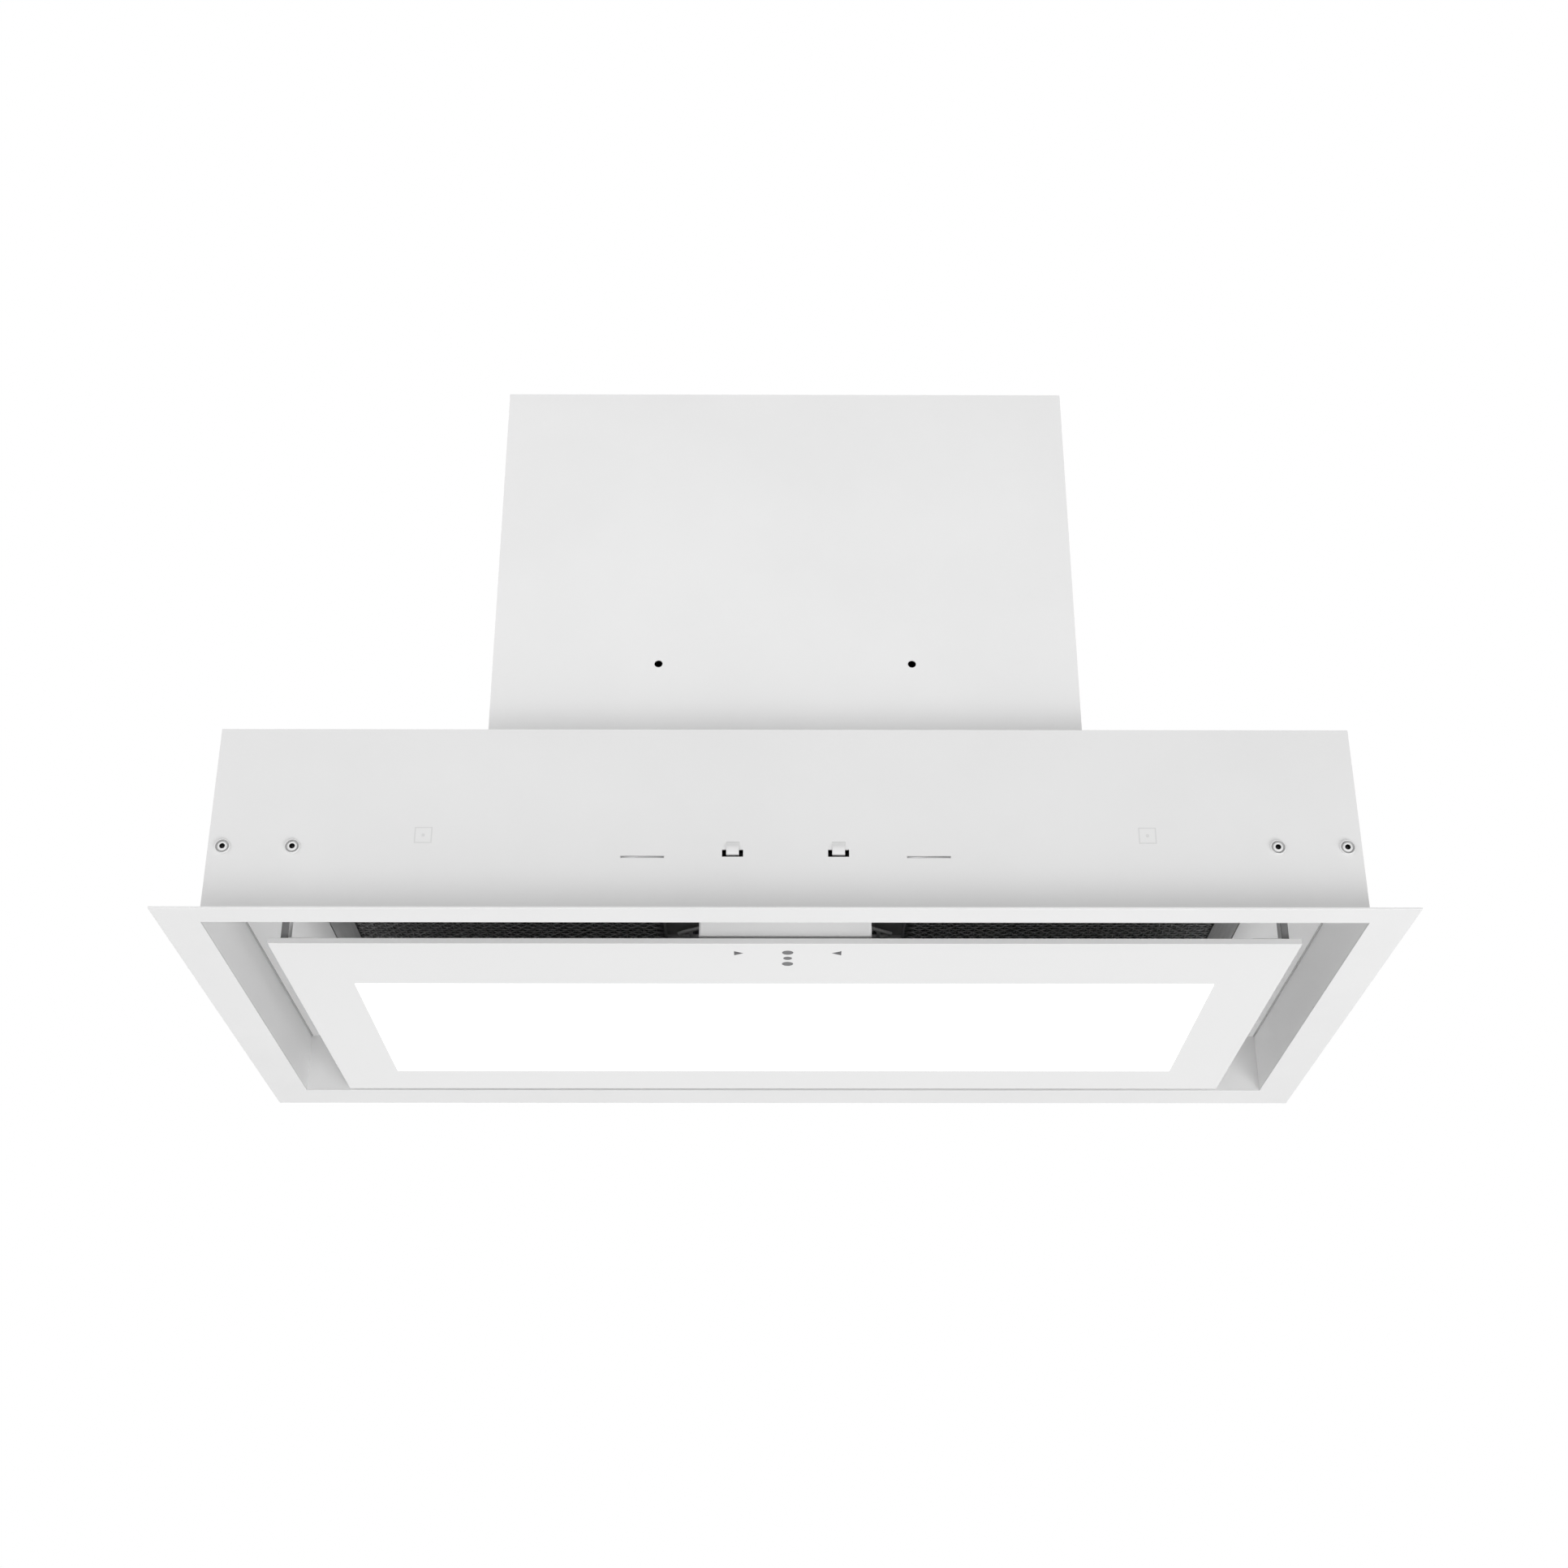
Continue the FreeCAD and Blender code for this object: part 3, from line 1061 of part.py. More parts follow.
def make_filter_frame():
    """A ring of C-shaped channel, open inwards, with two rear tabs and a front slot for the latch."""
    outer = block(filter_x, filter_y, filter_z)
    sheet = -FILTER_SHEET
    channel = block(grown(filter_x, sheet), grown(filter_y, sheet), grown(filter_z, sheet))
    window = block(grown(filter_x, -FILTER_LIP), grown(filter_y, -FILTER_LIP), grown(filter_z, OVERCUT))
    ring = outer.cut([channel, window])
    tabs = []
    for side in SIDES:
        tab_x = centred(side * FILTER_TAB_X, FILTER_TAB_WIDTH)
        tabs.append(block(tab_x, (filter_y[1] - FILTER_SHEET, filter_y[1] + FILTER_TAB_REACH), tab_z))
    slot_x = grown(latch_tongue_x, LATCH_PLAY)
    slot_y = grown((filter_y[0], filter_y[0] + FILTER_SHEET), OVERCUT)
    slot = block(slot_x, slot_y, grown(latch_z, LATCH_PLAY))
    save("filter_frame", fused([ring] + tabs).cut(slot))


def bezel_cutout(z):
    return block(bezel_x, (filter_y[0], bezel_rear), grown(z, OVERCUT))


def screen(z):
    """A flat sheet with rows of slots, which fills the frame between its lips."""
    x = grown(filter_x, -FILTER_SHEET - SLOT_PLAY)
    y = grown(filter_y, -FILTER_SHEET - SLOT_PLAY)
    sheet = block(x, y, z)
    slot_y = grown(filter_y, -FILTER_LIP - SCREEN_BAR)
    row_pitch = (slot_y[1] - slot_y[0] + SCREEN_BAR) / SCREEN_SLOT_ROWS
    usable = filter_x[1] - filter_x[0] - 2 * FILTER_LIP - 2 * SCREEN_BAR
    count = int(usable // SCREEN_SLOT_PITCH)
    tools = []
    for column in range(count):
        middle = (column - (count - 1) / 2) * SCREEN_SLOT_PITCH
        behind_bezel = abs(middle) < BEZEL_WIDTH / 2 + SCREEN_BAR
        for row in range(SCREEN_SLOT_ROWS):
            low = slot_y[0] + row * row_pitch
            high = low + row_pitch - SCREEN_BAR
            if behind_bezel:
                low = max(low, bezel_rear + SCREEN_BAR)
            if high - low > SCREEN_BAR:
                tools.append(block(centred(middle, SCREEN_SLOT_WIDTH), (low, high), grown(z, OVERCUT)))
    return sheet.cut(tools + [bezel_cutout(z)])


def make_filter_screens():
    save("filter_lower_screen", screen(screen_low_z))
    save("filter_upper_screen", screen(screen_high_z))


def make_filter_core():
    """The pack of crimped mesh between the screens, left open round the latch."""
    z = (screen_low_z[1], screen_high_z[0])
    inset = -FILTER_SHEET - SLOT_PLAY
    pack = block(grown(filter_x, inset), grown(filter_y, inset), z)
    save("filter_core", pack.cut(bezel_cutout(z)))


def make_latch_bezel():
    """A shallow tray, open downwards, that the latch slides in."""
    outer = block(bezel_x, bezel_y, (screen_low_z[0], bezel_roof_z[1]))
    inner_y = (bezel_y[0] - OVERCUT, bezel_y[1] - BEZEL_SHEET)
    room = block(grown(bezel_x, -BEZEL_SHEET), inner_y, (screen_low_z[0] - OVERCUT, bezel_roof_z[0]))
    save("latch_bezel", outer.cut(room))


def bow_outline(inset, z):
    """The D-shaped outline of the handle, straight at the rear and bowed to the front."""
    half = BOW_WIDTH / 2 - inset
    rear = bow_y[1] - inset
    side = bow_y[1] - BOW_CORNER
    apex = bow_y[0] + inset
    left = V(-half, side, z)
    right = V(half, side, z)
    edges = [
        Part.makeLine(V(-half, rear, z), V(half, rear, z)),
        Part.makeLine(V(half, rear, z), right),
        Part.Arc(right, V(0, apex, z), left).toShape(),
        Part.makeLine(left, V(-half, rear, z)),
    ]
    return Part.Face(Part.Wire(edges))


def make_filter_latch():
    """A tongue that rests on the plate, and a finger bow below the filter."""
    outer = bow_outline(0, bow_z[0]).extrude(UP * (bow_z[1] - bow_z[0]))
    inner = bow_outline(BOW_BAR, bow_z[0] - OVERCUT).extrude(UP * (bow_z[1] - bow_z[0] + 2 * OVERCUT))
    bow = outer.cut(inner)
    tongue = block(latch_tongue_x, (latch_tip_y, bow_y[0] + BOW_BAR), latch_z)
    stem = block(latch_tongue_x, (bow_y[0], bow_y[0] + BOW_BAR), (bow_z[0], latch_z[1]))
    save("filter_latch", fused([bow, tongue, stem]))


def make_latch_spring():
    """A bowed leaf between the latch's stem and the bezel's rear wall."""
    z = centred((latch_z[0] + latch_z[1]) / 2, SPRING_HEIGHT)
    front = bow_y[0] + BOW_BAR + SEAT_GAP
    rear = bezel_y[1] - BEZEL_SHEET - SEAT_GAP
    half = SPRING_WIDTH / 2

    def leaf(apex, ends):
        return Part.Arc(V(-half, ends, z[0]), V(0, apex, z[0]), V(half, ends, z[0])).toShape()

    low = leaf(front, rear - SPRING_LEAF)
    high = leaf(front + SPRING_LEAF, rear)
    left = Part.makeLine(V(-half, rear - SPRING_LEAF, z[0]), V(-half, rear, z[0]))
    right = Part.makeLine(V(half, rear, z[0]), V(half, rear - SPRING_LEAF, z[0]))
    outline = Part.Wire(Part.__sortEdges__([low, right, high, left]))
    save("latch_spring", Part.Face(outline).extrude(UP * SPRING_HEIGHT))


# ---------------------------------------------------------------- light panel

def sensor_places():
    rows = enumerate(SENSOR_RADII)
    return [(SENSOR_CENTRE_X, sensor_y + i * SENSOR_PITCH, radius) for i, radius in rows]


def mark(side, play):
    """A triangle that points at the sensors, sunk in the glass's lower face."""
    middle = SENSOR_CENTRE_X + side * MARK_X
    y = glass_y[0] + MARK_SETBACK
    tip = middle - side * MARK_LENGTH / 2
    base = middle + side * MARK_LENGTH / 2
    triangle = [(tip, y, 0), (base, y - MARK_HEIGHT / 2, 0), (base, y + MARK_HEIGHT / 2, 0)]
    centre = sum((V(*corner) for corner in triangle), V()) / 3
    spread = [centre + (V(*corner) - centre) * (1 + play) for corner in triangle]
    return prism(spread, UP * MARK_DEPTH)


def make_panel_glass():
    """The glass, with its light window, three sensor holes and two sunk marks."""
    pane = block(glass_x, glass_y, (0, GLASS_SHEET))
    through = grown((0, GLASS_SHEET), OVERCUT)
    tools = [block(grown(window_x, WINDOW_PLAY), grown(window_y, WINDOW_PLAY), through)]
    for x, y, radius in sensor_places():
        tools.append(rod((x, y, through[0]), UP, radius + SENSOR_PLAY, through[1] - through[0]))
    for side in SIDES:
        tools.append(mark(side, MARK_PLAY))
    save("panel_glass", pane.cut(tools))


def make_touch_marks():
    save("touch_marks", *[mark(side, 0) for side in SIDES])


def make_sensor_lenses():
    """Round lenses flush with the glass, each on a stem that reaches up to the board."""
    lenses = []
    for x, y, radius in sensor_places():
        lens = rod((x, y, 0), UP, radius, GLASS_SHEET)
        stem = rod((x, y, GLASS_SHEET), UP, SENSOR_STEM_RADIUS, housing_z[0] - GLASS_SHEET)
        lenses.append(fused([lens, stem]))
    save("sensor_lenses", *lenses)


def make_light_window():
    """An opal pane flush with the glass, with a step that lies on the glass's back."""
    pane = block(window_x, window_y, (0, step_z[1]))
    step = block(grown(window_x, WINDOW_STEP), grown(window_y, WINDOW_STEP), step_z)
    save("light_window", fused([pane, step]))


def make_light_guide():
    save("light_guide", block(guide_x, guide_y, guide_z))


def make_led_strips():
    """Two strips of lamps that stand on the window's step and face the guide's long edges."""
    strips = []
    strip_x = grown(guide_x, -LED_STRIP_END)
    lamp_z = centred((guide_z[0] + guide_z[1]) / 2, LED_SIZE)
    for way in SIDES:
        edge = guide_y[0] if way < 0 else guide_y[1]
        face = edge + way * (LED_STRIP_GAP + LED_HEIGHT)
        strip_y = sorted((face, face + way * LED_STRIP_SHEET))
        lamp_y = sorted((face, face - way * LED_HEIGHT))
        shapes = [block(strip_x, strip_y, guide_z)]
        for x in evenly(strip_x[0] + LED_SIZE, strip_x[1] - LED_SIZE, LED_COUNT):
            shapes.append(block(centred(x, LED_SIZE), lamp_y, lamp_z))
        strips.append(fused(shapes))
    save("led_strips", *strips)


def make_panel_tray():
    """A folded tray over the lamps, with lips that lie on the glass."""
    room_z = (GLASS_SHEET - OVERCUT, tray_top - TRAY_SHEET)
    room = block(grown(tray_x, -TRAY_SHEET), grown(tray_y, -TRAY_SHEET), room_z)
    shell = block(tray_x, tray_y, (GLASS_SHEET, tray_top)).cut(room)
    lip_z = (GLASS_SHEET, GLASS_SHEET + TRAY_SHEET)
    front_lip = block(tray_x, (tray_y[0] - TRAY_LIP, tray_y[0]), lip_z)
    shapes = [shell, front_lip]
    for side in SIDES:
        lip_x = sorted((side * tray_x[1], side * (tray_x[1] + TRAY_LIP)))
        shapes.append(block(lip_x, tray_y, lip_z))
    save("panel_tray", fused(shapes))


# ---------------------------------------------------------------- sensor housing

def make_control_housing():
    """A moulded box behind the glass, open downwards, with rounded front corners."""
    outer = block(housing_x, housing_y, housing_z)
    uprights = [edge for edge in outer.Edges if edge.BoundBox.ZLength > HOUSING_HEIGHT / 2]
    front = [edge for edge in uprights if edge.BoundBox.YMax < housing_y[0] + HOUSING_WALL]
    outer = outer.makeFillet(min(HOUSING_CORNER, HOUSING_DEPTH / 4), front)
    room_z = (housing_z[0] - OVERCUT, housing_z[1] - HOUSING_WALL)
    room = block(grown(housing_x, -HOUSING_WALL), grown(housing_y, -HOUSING_WALL), room_z)
    save("control_housing", outer.cut(room))


def make_housing_gasket():
    outer_x = grown(housing_x, -GASKET_INSET)
    outer_y = grown(housing_y, -GASKET_INSET)
    inner_x = grown(outer_x, -GASKET_WIDTH)
    inner_y = grown(outer_y, -GASKET_WIDTH)
    save("housing_gasket", ring_block(outer_x, outer_y, inner_x, inner_y, (GLASS_SHEET, housing_z[0])))


def make_sensor_board():
    z = (housing_z[0], housing_z[0] + BOARD_SHEET)
    inset = -HOUSING_WALL - SLOT_PLAY
    save("sensor_board", block(grown(housing_x, inset), grown(housing_y, inset), z))


# ---------------------------------------------------------------- hinges and catches

def hinge_arm():
    """A strap from the tray's top to a knuckle round the pin, at the right hinge."""
    x = centred(hinge_x, HINGE_ARM_WIDTH)
    strap_top = tray_top + HINGE_ARM_SHEET
    rear = hinge_y + HINGE_KNUCKLE_RADIUS
    front = tray_y[1] - HINGE_ARM_REACH
    strap = block(x, (front, rear), (tray_top, strap_top))
    drop = block(x, (hinge_y - HINGE_KNUCKLE_RADIUS, rear), (HINGE_Z, strap_top))
    knuckle = rod((x[0], hinge_y, HINGE_Z), RIGHT, HINGE_KNUCKLE_RADIUS, HINGE_ARM_WIDTH)
    bore = rod((x[0], hinge_y, HINGE_Z), RIGHT, HINGE_PIN_RADIUS + HINGE_PIN_PLAY, HINGE_ARM_WIDTH)
    return fused([strap, drop, knuckle]).cut(bore)


def ear_spans():
    """The X spans of the two ears beside the right hinge's arm."""
    arm_x = grown(centred(hinge_x, HINGE_ARM_WIDTH), HINGE_EAR_GAP)
    return [(arm_x[0] - HINGE_EAR_SHEET, arm_x[0]), (arm_x[1], arm_x[1] + HINGE_EAR_SHEET)]


def hinge_bracket():
    """Two ears that hang from a foot under the inner plate, at the right hinge."""
    ears = ear_spans()
    shapes = []
    for x in ears:
        shapes.append(block(x, centred(hinge_y, 2 * HINGE_EAR_RADIUS), (HINGE_Z, PLATE_UNDERSIDE)))
        shapes.append(rod((x[0], hinge_y, HINGE_Z), RIGHT, HINGE_EAR_RADIUS, HINGE_EAR_SHEET))
    foot_x = (ears[0][0], ears[1][1])
    foot_z = (PLATE_UNDERSIDE - HINGE_EAR_SHEET, PLATE_UNDERSIDE)
    shapes.append(block(foot_x, centred(hinge_y, HINGE_FOOT), foot_z))
    bore_start = (foot_x[0], hinge_y, HINGE_Z)
    bore = rod(bore_start, RIGHT, HINGE_PIN_RADIUS + PRESS_PLAY, foot_x[1] - foot_x[0])
    return fused(shapes).cut(bore)


def hinge_pin():
    """A headed pin through both ears of the right hinge."""
    ears = ear_spans()
    start = (ears[0][0], hinge_y, HINGE_Z)
    shank = rod(start, RIGHT, HINGE_PIN_RADIUS, ears[1][1] - ears[0][0])
    head_start = (start[0] - HINGE_PIN_HEAD, hinge_y, HINGE_Z)
    head = rod(head_start, RIGHT, HINGE_PIN_HEAD_RADIUS, HINGE_PIN_HEAD)
    return fused([shank, head])


def catch_post():
    """A flat post behind the glass near the right front corner, on a foot."""
    x = centred(catch_x, CATCH_SHEET)
    front = glass_y[0] + CATCH_SETBACK
    y = (front, front + CATCH_DEPTH)
    post = block(x, y, (GLASS_SHEET, CATCH_TOP))
    foot_x = (x[0] - CATCH_FOOT_WIDTH, x[0])
    foot = block(foot_x, y, (GLASS_SHEET, GLASS_SHEET + CATCH_FOOT_SHEET))
    return fused([post, foot])


def catch_clip():
    """A spring clip under the inner plate that grips the right post's upper end."""
    x = grown(centred(catch_x, CATCH_SHEET), CLIP_GAP)
    y = centred(glass_y[0] + CATCH_SETBACK + CATCH_DEPTH / 2, CLIP_DEPTH)
    leg_z = (PLATE_UNDERSIDE - CLIP_LEG_LENGTH, PLATE_UNDERSIDE)
    web_z = (PLATE_UNDERSIDE - CLIP_LEG_SHEET, PLATE_UNDERSIDE)
    outer_x = grown(x, CLIP_LEG_SHEET)
    left = block((outer_x[0], x[0]), y, leg_z)
    right = block((x[1], outer_x[1]), y, leg_z)
    return fused([left, right, block(outer_x, y, web_z)])


def make_hinges_and_catches():
    save("hinge_arms", *both_sides(hinge_arm()))
    save("hinge_brackets", *both_sides(hinge_bracket()))
    save("hinge_pins", *both_sides(hinge_pin()))
    save("catch_posts", *both_sides(catch_post()))
    save("catch_clips", *both_sides(catch_clip()))


# ---------------------------------------------------------------- build

make_trim_flange()
make_casing_wrap()
make_casing_ends()
make_casing_rivets()
make_inner_plate()
make_motor_box_wrap()
make_motor_box_rear_cover()
make_motor_box_top()
make_motor_box_rivets()
make_cover_screws()
make_scroll()
make_fan_wheel()
make_fan_hub()
make_motor_shaft()
make_motor_rotor()
make_motor_can()
make_motor_caps()
make_motor_bearings()
make_stator()
make_motor_spider()
make_spider_dampers()
make_outlet_collar()
make_collar_screws()
make_flap_rods()
make_damper_flaps()
make_run_capacitor()
make_capacitor_clip()
make_control_box()
make_control_box_lid()
make_power_board()
make_cable_gland()
make_gland_nut()
make_filter_frame()
make_filter_screens()
make_filter_core()
make_latch_bezel()
make_filter_latch()
make_latch_spring()
make_panel_glass()
make_touch_marks()
make_sensor_lenses()
make_light_window()
make_light_guide()
make_led_strips()
make_panel_tray()
make_control_housing()
make_housing_gasket()
make_sensor_board()
make_hinges_and_catches()
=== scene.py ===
import json
import math

import bmesh
import bpy
from mathutils import Matrix, Vector


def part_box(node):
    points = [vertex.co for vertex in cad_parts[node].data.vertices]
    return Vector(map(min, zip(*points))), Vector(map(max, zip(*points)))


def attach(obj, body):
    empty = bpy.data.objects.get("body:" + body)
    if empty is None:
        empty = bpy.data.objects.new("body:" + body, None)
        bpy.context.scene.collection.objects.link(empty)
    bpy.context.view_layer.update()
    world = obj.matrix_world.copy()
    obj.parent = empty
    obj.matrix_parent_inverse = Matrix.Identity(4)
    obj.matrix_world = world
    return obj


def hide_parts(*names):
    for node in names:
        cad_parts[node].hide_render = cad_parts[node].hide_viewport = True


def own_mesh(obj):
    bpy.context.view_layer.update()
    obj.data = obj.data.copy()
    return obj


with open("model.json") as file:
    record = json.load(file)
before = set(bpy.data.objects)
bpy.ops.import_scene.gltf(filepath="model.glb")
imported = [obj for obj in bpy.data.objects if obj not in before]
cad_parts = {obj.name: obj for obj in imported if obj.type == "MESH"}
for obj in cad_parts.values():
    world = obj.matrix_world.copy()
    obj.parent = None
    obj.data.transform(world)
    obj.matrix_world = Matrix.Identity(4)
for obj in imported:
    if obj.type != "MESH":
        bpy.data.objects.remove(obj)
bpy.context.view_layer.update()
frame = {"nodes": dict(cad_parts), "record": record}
NODES = frame["nodes"]


# ---------------------------------------------------------------- camera

LENS_MM = 50
SENSOR_MM = 36
CAMERA_PLACE = (-0.005107, -1.100963, -0.390257)
CAMERA_PITCH = 25.634           # degrees, as the next two
CAMERA_YAW = -0.259
CAMERA_ROLL = -0.045
CLIP_RANGE = (0.02, 60)


def make_camera():
    """A 50 mm lens below and in front of the hood, looking up at it."""
    pitch = math.radians(CAMERA_PITCH)
    yaw = math.radians(CAMERA_YAW)
    roll = math.radians(CAMERA_ROLL)
    turn = Matrix.Rotation(yaw, 3, "Z")
    forward = turn @ Vector((0, math.cos(pitch), math.sin(pitch)))
    level_up = turn @ Vector((0, -math.sin(pitch), math.cos(pitch)))
    level_right = turn @ Vector((1, 0, 0))
    right = level_right * math.cos(roll) + level_up * math.sin(roll)
    up = level_up * math.cos(roll) - level_right * math.sin(roll)
    data = bpy.data.cameras.new("camera")
    data.lens = LENS_MM
    data.sensor_width = SENSOR_MM
    data.clip_start, data.clip_end = CLIP_RANGE
    camera = bpy.data.objects.new("camera", data)
    axes = Matrix((right, up, -forward)).transposed().to_4x4()
    camera.matrix_world = Matrix.Translation(CAMERA_PLACE) @ axes
    bpy.context.scene.collection.objects.link(camera)
    bpy.context.scene.camera = camera


# ---------------------------------------------------------------- shader helpers

def new_material(name):
    """A fresh material with its node tree and its main shader."""
    material = bpy.data.materials.new(name)
    material.use_nodes = True
    tree = material.node_tree
    return material, tree, tree.nodes["Principled BSDF"]


def add(tree, kind, **values):
    """A new shader node, with settings or inputs given by name."""
    node = tree.nodes.new(kind)
    for key, value in values.items():
        if key in node.inputs:
            node.inputs[key].default_value = value
        else:
            setattr(node, key, value)
    return node


def object_space(tree, stretch=(1, 1, 1)):
    """Object coordinates in metres, stretched per axis."""
    source = add(tree, "ShaderNodeTexCoord")
    mapping = add(tree, "ShaderNodeMapping")
    mapping.inputs["Scale"].default_value = stretch
    tree.links.new(source.outputs["Object"], mapping.inputs["Vector"])
    return mapping.outputs["Vector"]


def noise(tree, vector, scale, detail=3.0, roughness=0.5):
    """The value of a noise texture at the given scale, in waves per metre."""
    node = add(tree, "ShaderNodeTexNoise")
    node.inputs["Scale"].default_value = scale
    node.inputs["Detail"].default_value = detail
    node.inputs["Roughness"].default_value = roughness
    tree.links.new(vector, node.inputs["Vector"])
    return node.outputs["Fac"]


def ramp(tree, value, stops):
    """A colour ramp through (place, colour) stops."""
    node = add(tree, "ShaderNodeValToRGB")
    elements = node.color_ramp.elements
    while len(elements) < len(stops):
        elements.new(0.5)
    for element, (place, colour) in zip(elements, stops):
        element.position = place
        element.color = (*colour, 1)
    tree.links.new(value, node.inputs["Fac"])
    return node.outputs["Color"]


def tone(colour, factor):
    """The same colour, lighter or darker."""
    return tuple(min(1.0, c * factor) for c in colour)


def even(level):
    """A neutral colour."""
    return (level, level, level)


def bump(tree, shader, height, strength, distance):
    """Roughen the shader's normal by a height; the distance is in metres."""
    node = add(tree, "ShaderNodeBump")
    node.inputs["Strength"].default_value = strength
    node.inputs["Distance"].default_value = distance
    tree.links.new(height, node.inputs["Height"])
    tree.links.new(node.outputs["Normal"], shader.inputs["Normal"])


NOISE_LOW = 0.3
NOISE_HIGH = 0.7


def roughness_range(tree, shader, value, low, high):
    """Map a texture's value, between the two marks above, to a range of roughness."""
    node = add(tree, "ShaderNodeMapRange")
    node.inputs["From Min"].default_value = NOISE_LOW
    node.inputs["From Max"].default_value = NOISE_HIGH
    node.inputs["To Min"].default_value = low
    node.inputs["To Max"].default_value = high
    tree.links.new(value, node.inputs["Value"])
    tree.links.new(node.outputs["Result"], shader.inputs["Roughness"])


# ---------------------------------------------------------------- materials

def powder_coat(name, colour, roughness=0.42, grain=1.0):
    """Powder-coated sheet: a faint orange peel and hardly visible clouds in the colour."""
    material, tree, shader = new_material(name)
    place = object_space(tree)
    clouds = noise(tree, place, scale=9, detail=4, roughness=0.6)
    colours = ramp(tree, clouds, [(0.35, tone(colour, 0.982)), (0.65, tone(colour, 1.01))])
    tree.links.new(colours, shader.inputs["Base Color"])
    peel = noise(tree, place, scale=620, detail=2, roughness=0.45)
    roughness_range(tree, shader, noise(tree, place, scale=60, detail=3), roughness - 0.04, roughness + 0.05)
    bump(tree, shader, peel, strength=0.10 * grain, distance=0.0004)
    shader.inputs["Specular IOR Level"].default_value = 0.42
    return material


def brushed(name, colour, roughness, stretch, strength=0.18):
    """Rolled or brushed metal, with fine lines along one axis."""
    material, tree, shader = new_material(name)
    lines = noise(tree, object_space(tree, stretch), scale=900, detail=3, roughness=0.6)
    stains = noise(tree, object_space(tree), scale=22, detail=4, roughness=0.6)
    colours = ramp(tree, stains, [(0.3, tone(colour, 0.90)), (0.7, tone(colour, 1.05))])
    tree.links.new(colours, shader.inputs["Base Color"])
    shader.inputs["Metallic"].default_value = 1.0
    roughness_range(tree, shader, lines, roughness - 0.08, roughness + 0.10)
    bump(tree, shader, lines, strength=strength, distance=0.0002)
    return material


def zinc(name, colour, roughness=0.34):
    """Zinc-plated steel with a faint spangle."""
    material, tree, shader = new_material(name)
    place = object_space(tree)
    cells = add(tree, "ShaderNodeTexVoronoi", feature="F1")
    cells.inputs["Scale"].default_value = 260
    tree.links.new(place, cells.inputs["Vector"])
    grey = add(tree, "ShaderNodeRGBToBW")
    tree.links.new(cells.outputs["Color"], grey.inputs["Color"])
    colours = ramp(tree, grey.outputs["Val"], [(0.2, tone(colour, 0.88)), (0.8, tone(colour, 1.06))])
    tree.links.new(colours, shader.inputs["Base Color"])
    shader.inputs["Metallic"].default_value = 1.0
    roughness_range(tree, shader, grey.outputs["Val"], roughness - 0.06, roughness + 0.10)
    bump(tree, shader, noise(tree, place, scale=1500, detail=2), strength=0.12, distance=0.0001)
    return material


def moulded(name, colour, roughness=0.45, grain_scale=1400, strength=0.16):
    """Moulded plastic or rubber with a fine eroded grain."""
    material, tree, shader = new_material(name)
    place = object_space(tree)
    clouds = noise(tree, place, scale=14, detail=3)
    colours = ramp(tree, clouds, [(0.35, tone(colour, 0.95)), (0.65, tone(colour, 1.03))])
    tree.links.new(colours, shader.inputs["Base Color"])
    grain = noise(tree, place, scale=grain_scale, detail=2, roughness=0.6)
    roughness_range(tree, shader, grain, roughness - 0.05, roughness + 0.06)
    bump(tree, shader, grain, strength=strength, distance=0.00025)
    shader.inputs["Specular IOR Level"].default_value = 0.45
    return material


def back_printed_glass(name, colour):
    """White print seen through the glass: a soft ground under a hard, clear, glossy face."""
    material, tree, shader = new_material(name)
    place = object_space(tree)
    ground = noise(tree, place, scale=5, detail=3)
    colours = ramp(tree, ground, [(0.35, tone(colour, 0.992)), (0.65, tone(colour, 1.006))])
    tree.links.new(colours, shader.inputs["Base Color"])
    shader.inputs["Roughness"].default_value = 0.25
    shader.inputs["IOR"].default_value = 1.52
    shader.inputs["Specular IOR Level"].default_value = 0.35
    shader.inputs["Coat Weight"].default_value = 0.6
    shader.inputs["Coat Roughness"].default_value = 0.03
    shader.inputs["Coat IOR"].default_value = 1.5
    bump(tree, shader, noise(tree, place, scale=24, detail=2), strength=0.015, distance=0.0004)
    return material


def lit_opal(name):
    """Opal acrylic lit from behind, with hardly visible clouds in its light."""
    material, tree, shader = new_material(name)
    place = object_space(tree)
    shade = noise(tree, place, scale=7, detail=2)
    colours = ramp(tree, shade, [(0.3, even(0.985)), (0.7, even(1))])
    tree.links.new(colours, shader.inputs["Emission Color"])
    shader.inputs["Base Color"].default_value = (0.9, 0.9, 0.9, 1)
    shader.inputs["Emission Strength"].default_value = 1.05
    shader.inputs["Roughness"].default_value = 0.3
    bump(tree, shader, noise(tree, place, scale=900, detail=2), strength=0.05, distance=0.0002)
    return material


def clear_acrylic(name):
    """Clear sheet with small printed dots that send its light down."""
    material, tree, shader = new_material(name)
    place = object_space(tree)
    dots = add(tree, "ShaderNodeTexVoronoi", feature="F1")
    dots.inputs["Scale"].default_value = 400
    tree.links.new(place, dots.inputs["Vector"])
    shader.inputs["Base Color"].default_value = (0.93, 0.95, 0.95, 1)
    shader.inputs["Transmission Weight"].default_value = 0.85
    shader.inputs["IOR"].default_value = 1.49
    roughness_range(tree, shader, dots.outputs["Distance"], 0.04, 0.25)
    bump(tree, shader, dots.outputs["Distance"], strength=0.2, distance=0.0003)
    return material


BANDS_PER_UNIT = 3.2            # stripes per unit at a wave texture's scale of 1


